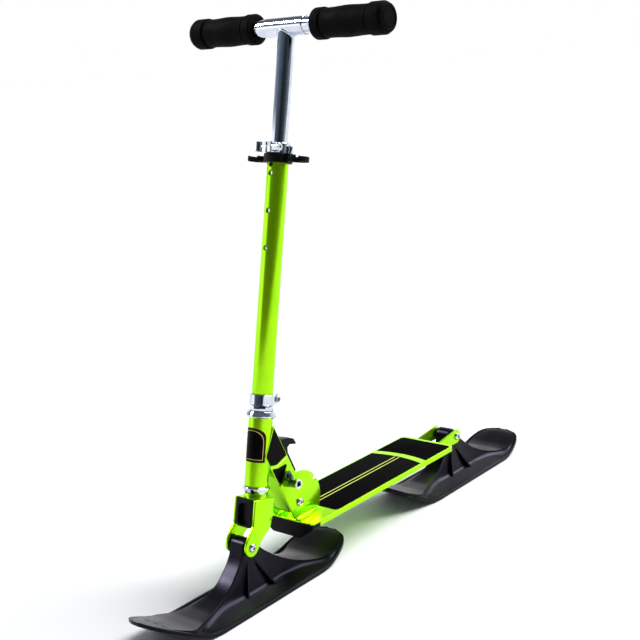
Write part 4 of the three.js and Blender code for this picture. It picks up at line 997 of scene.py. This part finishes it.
def buildClip():
    low, high = clip["start"], clip["start"] + clip["height"]
    jawAt, boss, mouth = clip["jawAt"], clip["bossHalf"], clip["mouthHalf"]
    jawLow = low + clip["jawRise"]
    jawHigh = jawLow + clip["jawHeight"]
    piece = rod("gripHolderClip", clip["collar"], low, high, "z", edge=0.6, steps=96)
    weld(piece, block("clipArms", (-jawAt, jawAt), (-clip["arm"] / 2, clip["arm"] / 2), (jawLow, jawHigh)),
         block("screwBoss", (10, clip["screwAt"] + boss), (-boss, boss), (jawLow, high)),
         *[rod("clipJaw", clip["jaw"], jawLow, jawHigh, "z", (x, 0), 0.6, 80) for x in (jawAt, -jawAt)])
    cutters = [drill(tubeBore, low - 3, high + 3, "z", steps=96)]
    for x in (jawAt, -jawAt):
        cutters.append(drill(clip["jawBore"], low - 3, high + 3, "z", (x, 0), 80))
        cutters.append(block("jawMouth", (x - mouth, x + mouth), (-40, 0), (low - 3, high + 3)))
    carve(piece, *cutters)
    easeEdges(piece, 0.7, 3, 45)
    finish(piece, columnPlace, "black_plastic", "steering", "grip_holder_clip", sharp=40)
    centre, foot, tall = (clip["screwAt"], 0), high + gap, clip["screwHeight"]
    profile = rounded(rectangle((0, clip["screw"]), (foot, foot + tall), 0.6), 3)
    screw = turned("clipScrew", profile, 48, "z", centre)
    carve(screw, prism("screwSocket", hexagon(centre, clip["socket"]), foot + tall / 2, foot + tall + 3, "z"))
    finish(screw, columnPlace, "chrome_plate", "steering", "clip_screw")


def buildRelease():
    start = clip["start"] + clip["height"] + gap
    middle = start + release["height"] / 2
    splitCollar("quickReleaseCollar", release, start, -1, "quick_release_collar")
    centre, face = (-release["bolt"], middle), release["earHalf"] + gap
    rodEnd, nutEnd = release["earHalf"] + release["nutLength"] / 2, face + release["nutLength"]
    shaft = rod("quickReleaseRod", release["rod"], release["barrel"] + gap - release["barrelAt"], rodEnd, "x",
                centre, 0.4, 40)
    finish(shaft, columnPlace, "zinc_steel", "steering", "quick_release_rod")
    nut = rod("quickReleaseNut", release["nut"], face, nutEnd, "x", centre, 0.9, 64)
    depth = release["socketDepth"]
    carve(nut, prism("nutSocket", hexagon(centre, release["socket"]), nutEnd - depth, nutEnd + depth),
          drill(release["rod"] + gap, face - 3, rodEnd + gap, "x", centre, 40))
    finish(nut, columnPlace, "chrome_plate", "steering", "quick_release_nut")
    pivot, half = (-release["barrelAt"], -release["bolt"]), release["barrelHeight"] / 2
    lever = rod("quickReleaseLever", release["barrel"], middle - half, middle + half, "z", pivot, 0.8, 64)
    inner, steps = release["radius"] + release["leverClear"], release["leverSteps"]
    inside = arc((0, 0), inner, atan2(pivot[1], pivot[0]) + 2 * pi, release["leverEnd"], steps)
    outside = []
    for (x, y), thick in zip(inside, evenly(release["leverThick"], release["leverTip"], steps)):
        outside.append((x * (inner + thick) / inner, y * (inner + thick) / inner))
    half = release["leverHeight"] / 2
    weld(lever, prism("leverBow", inside + outside[::-1], middle - half, middle + half, "z"))
    easeEdges(lever, 0.6, 2, 45)
    finish(lever, columnPlace, "chrome_plate", "release_lever", "quick_release_lever", sharp=36)


bar = {"bottom": 355, "top": 693.7, "stem": 12.7, "bore": 10.7, "crossHalf": 37, "cross": 14.3,
       "bead": 1.5, "beadTurns": 18, "beadSteps": 72}
handle = {"inner": 3.5, "outer": 172, "radius": 12.7, "bore": 10.7, "button": 52}
button = {"radius": 3.4, "proud": 1.1, "length": 4.8, "flangeRadius": 4.6, "flange": 1.4, "dome": 1.2}
grip = {"inner": 58, "outer": 183, "flange": 15, "flangeRadius": 22.7, "groove": 3, "grooveRadius": 20,
        "barrel": 77, "barrelRadius": 22.2, "ring": 20, "ringRadius": 22.97, "edge": 2,
        # the end face: radius, depth and rounding
        "cap": [(16, 0, 0.5), (15.4, 0.9, 0.3), (13.6, 0.9, 0.3), (13, 0, 0.4)]}
crossCentre = (0, bar["top"])


def weldBead():
    # fillet bead of the weld, where the stem meets the cross tube
    vertices = []
    for i in range(bar["beadSteps"]):
        angle = 2 * pi * i / bar["beadSteps"]
        x, y = bar["stem"] * cos(angle), bar["stem"] * sin(angle)
        z = bar["top"] - sqrt(bar["cross"] ** 2 - y ** 2)
        for k in range(bar["beadTurns"]):
            turn = 2 * pi * k / bar["beadTurns"]
            out = bar["bead"] * cos(turn)
            vertices.append((x + out * cos(angle), y + out * sin(angle), z + bar["bead"] * sin(turn)))
    return meshPiece("weldBead", vertices, wallFaces(bar["beadSteps"], bar["beadTurns"], True))


def buildBar():
    low, high, cross = bar["bottom"], bar["top"], bar["crossHalf"]
    piece = rod("tBarStem", bar["stem"], low, high, "z", edge=0.5, steps=96)
    weld(piece, rod("crossTube", bar["cross"], -cross, cross, "x", crossCentre, 0.6, 96))
    carve(piece, drill(bar["bore"], low - 4, high, "z", steps=96),
          drill(handle["radius"] + gap, -60, 60, "x", crossCentre, 96),
          drill(button["radius"] + gap, -bar["stem"] - 4, 0, "y", (0, tube["holes"][0]), 40))
    gather(piece, weldBead())
    finish(piece, columnPlace, "chrome_plate", "bar", "t_bar_stem", sharp=23)


def buildButton(name, centre, radius, body, node):
    tip = radius + button["proud"]
    foot = tip - button["length"]
    size, wide, dome = button["radius"], button["flangeRadius"], button["dome"]
    flange = button["flange"] - foot
    profile = [(0, flange), (wide, flange), (wide, -foot), (size, -foot), (size, -tip + dome)]
    profile += [(size * cos(a), -tip + dome - dome * sin(a)) for a in (radians(15 * i) for i in range(1, 6))]
    piece = turned(name, profile + [(0, -tip)], 40, "y", centre)
    finish(piece, columnPlace, "chrome_plate", body, node)


def buildHandle(name, side):
    low, high = onSide(side, handle["inner"], handle["outer"])
    radius, buttonAt = handle["radius"], (side * handle["button"], bar["top"])
    piece = ring(f"{name}HandleTube", radius, handle["bore"], low, high, "x", crossCentre, 0.4)
    carve(piece, drill(button["radius"] + gap, -radius - 4, 0, "y", buttonAt, 40))
    finish(piece, columnPlace, "chrome_plate", f"{name}_handle", f"{name}_handle_tube", sharp=40)
    buildButton(f"{name}HandleButton", buttonAt, radius, f"{name}_button", f"{name}_handle_button")


def buildGrip(name, side):
    seat, inner, outer = handle["outer"] + gap, grip["inner"], grip["outer"]
    groove, barrel, wide = grip["grooveRadius"], grip["barrelRadius"], grip["flangeRadius"]
    lip = inner + grip["flange"]
    start = lip + grip["groove"]
    end = start + grip["barrel"]
    swell = smoothCurve([(start, groove + 1), (start + 12, barrel - 1.1), ((start + end) / 2, barrel),
                         (end - 12, barrel - 1.1), (end, groove + 1)])
    ringStart, edge = end + grip["groove"], grip["ringRadius"]
    # radius, place along the bar and rounding: flange, barrel between two grooves, end ring and cap
    corners = [(handle["radius"] + gap, seat, 0), (handle["radius"] + gap, inner, 0.5), (wide, inner, 2.2),
               (wide, lip, 1.2), (groove, lip, 0.6), (groove, start, 0.6)]
    corners += [(swell(x), x, 0) for x in (start + grip["barrel"] * i / 24 for i in range(25))]
    corners += [(groove, end, 0.6), (groove, ringStart, 0.6), (edge, ringStart, 1.2),
                (edge, ringStart + grip["ring"], 2), (edge - grip["edge"] * 1.6, outer - 1, 2)]
    corners += [(radius, outer - depth, rounding) for radius, depth, rounding in grip["cap"]]
    profile = [(0, seat)] + rounded(corners, 4) + [(0, outer)]
    piece = turned(f"{name}Grip", [(r, side * x) for r, x in profile], 112, "x", crossCentre)
    finish(piece, columnPlace, "grip_rubber", f"{name}_handle", f"{name}_grip", sharp=45)


buildLowerTube()
splitCollar("pinchCollar", pinch, pinch["start"], 1, "pinch_collar")
buildPinchBolt()
buildClip()
buildRelease()
buildBar()
buildButton("heightButton", (0, tube["holes"][0]), bar["stem"], "bar_button", "height_button")
for handleName, handleSide in (("left", 1), ("right", -1)):
    buildHandle(handleName, handleSide)
    buildGrip(handleName, handleSide)
print("column built")

# Nodes that stay as they are get the finish of their slot
for entry in frame["record"]["subparts"]:
    node = frame["nodes"][entry["node"]]
    node.data.materials.clear()
    node.data.materials.append(finishes[entry["material_slot"]])


# Studio: pale floor and a surround of panels that is dark behind the camera

studio = {
    "floor": "#F6F6F6", "floorSize": 90, "overhead": "#50545F", "overheadFrom": (0.3, 0.7),
    "surround": 1.6, "panelTop": (0.095, 0.12),
    "key": {"towards": (0.345, 0.59, 0.73), "energy": 4.1, "angle": 40, "matt": True},
    "side": {"towards": (-0.62, -0.43, 0.66), "energy": 3.4, "angle": 12, "matt": False},
    # degrees round from the camera, left to right, near the horizon and above the side panels
    "low": [(-180, "#FFFFFF"), (-80, "#FFFFFF"), (-66, "#454F5C"), (0, "#0F1213"), (48, "#353E42"),
            (70, "#9A9A9A"), (100, "#CBCBCB"), (130, "#DCDCDC"), (150, "#FFFFFF"), (180, "#FFFFFF")],
    "high": [(-180, "#FFFFFF"), (-150, "#CFCFCF"), (-122, "#818894"), (-106, "#687282"), (-60, "#454F5C"),
             (0, "#0F1213"), (48, "#353E42"), (84, "#72777E"), (100, "#CBCBCB"), (130, "#DCDCDC"),
             (150, "#FFFFFF"), (180, "#FFFFFF")],
}


def colourRound(tree, where, ahead, stops):
    # colours by the direction round the vertical, with the middle of the ramp towards ahead
    flat = addNode(tree, "ShaderNodeCombineXYZ")
    for axis, direction in (("X", ahead), ("Y", Vector((-ahead.y, ahead.x, 0)))):
        share = addNode(tree, "ShaderNodeVectorMath", {"operation": "DOT_PRODUCT", 1: direction}, {0: where})
        tree.links.new(share.outputs["Value"], flat.inputs[axis])
    turn = addNode(tree, "ShaderNodeTexGradient", {"gradient_type": "RADIAL"}, {"Vector": flat.outputs[0]})
    ramp = addNode(tree, "ShaderNodeValToRGB", None, {"Fac": turn.outputs["Fac"]})
    elements = ramp.color_ramp.elements
    elements[0].color, elements[1].color = hexColour(stops[0][1]), hexColour(stops[-1][1])
    for degrees, text in stops[1:-1]:
        elements.new(degrees / 360 + 0.5).color = hexColour(text)
    return ramp.outputs["Color"]


def buildFloor():
    size = studio["floorSize"]
    floor = meshPiece("floor", [(*p[:2], 0) for p in rectangle((-size, size), (-size, size))], [(0, 1, 2, 3)])
    floor.data.materials.append(makeMaterial("paintedFloor", {"surface": {
        "Base Color": hexColour(studio["floor"]), "Roughness": 0.9, "Specular IOR Level": 0.1}}))


def buildSurround():
    world = bpy.data.worlds.new("studioSurround")
    scene.world = world
    world.use_nodes = True
    sky = world.node_tree
    sky.nodes.clear()
    where = addNode(sky, "ShaderNodeTexCoord").outputs["Generated"]
    ahead = Vector((-cameraForward.x, -cameraForward.y, 0)).normalized()
    # the side panels' upper edge is square to the steering column
    along = addNode(sky, "ShaderNodeVectorMath", {"operation": "DOT_PRODUCT", 1: columnAxis}, {0: where})
    height = addNode(sky, "ShaderNodeSeparateXYZ", None, {"Vector": where}).outputs["Z"]
    shares = [addNode(sky, "ShaderNodeMapRange", {"From Min": low, "From Max": high}, {"Value": value})
              for value, (low, high) in ((along.outputs["Value"], studio["panelTop"]),
                                         (height, studio["overheadFrom"]))]
    around = addNode(sky, "ShaderNodeMix", {"data_type": "RGBA"}, {
        0: shares[0].outputs["Result"], 6: colourRound(sky, where, ahead, studio["low"]),
        7: colourRound(sky, where, ahead, studio["high"])})
    overhead = addNode(sky, "ShaderNodeMix", {"data_type": "RGBA", 7: hexColour(studio["overhead"])}, {
        0: shares[1].outputs["Result"], 6: around.outputs[2]})
    surround = addNode(sky, "ShaderNodeBackground", {"Strength": studio["surround"]},
                       {"Color": overhead.outputs[2]})
    white = addNode(sky, "ShaderNodeBackground", {"Color": (1, 1, 1, 1), "Strength": 1})
    seen = addNode(sky, "ShaderNodeLightPath").outputs["Is Camera Ray"]
    mix = addNode(sky, "ShaderNodeMixShader", None, {0: seen, 1: surround.outputs[0], 2: white.outputs[0]})
    addNode(sky, "ShaderNodeOutputWorld", None, {"Surface": mix.outputs[0]})


def addSun(name):
    settings = studio[name]
    data = bpy.data.lights.new(name + "Light", "SUN")
    data.energy = settings["energy"]
    data.angle = radians(settings["angle"])
    light = bpy.data.objects.new(name + "Light", data)
    scene.collection.objects.link(light)
    light.rotation_euler = Vector(settings["towards"]).to_track_quat("Z", "Y").to_euler()
    light.visible_diffuse = settings["matt"]  # the side light only draws highlights


buildFloor()
buildSurround()
addSun("key")
addSun("side")
print("studio built")
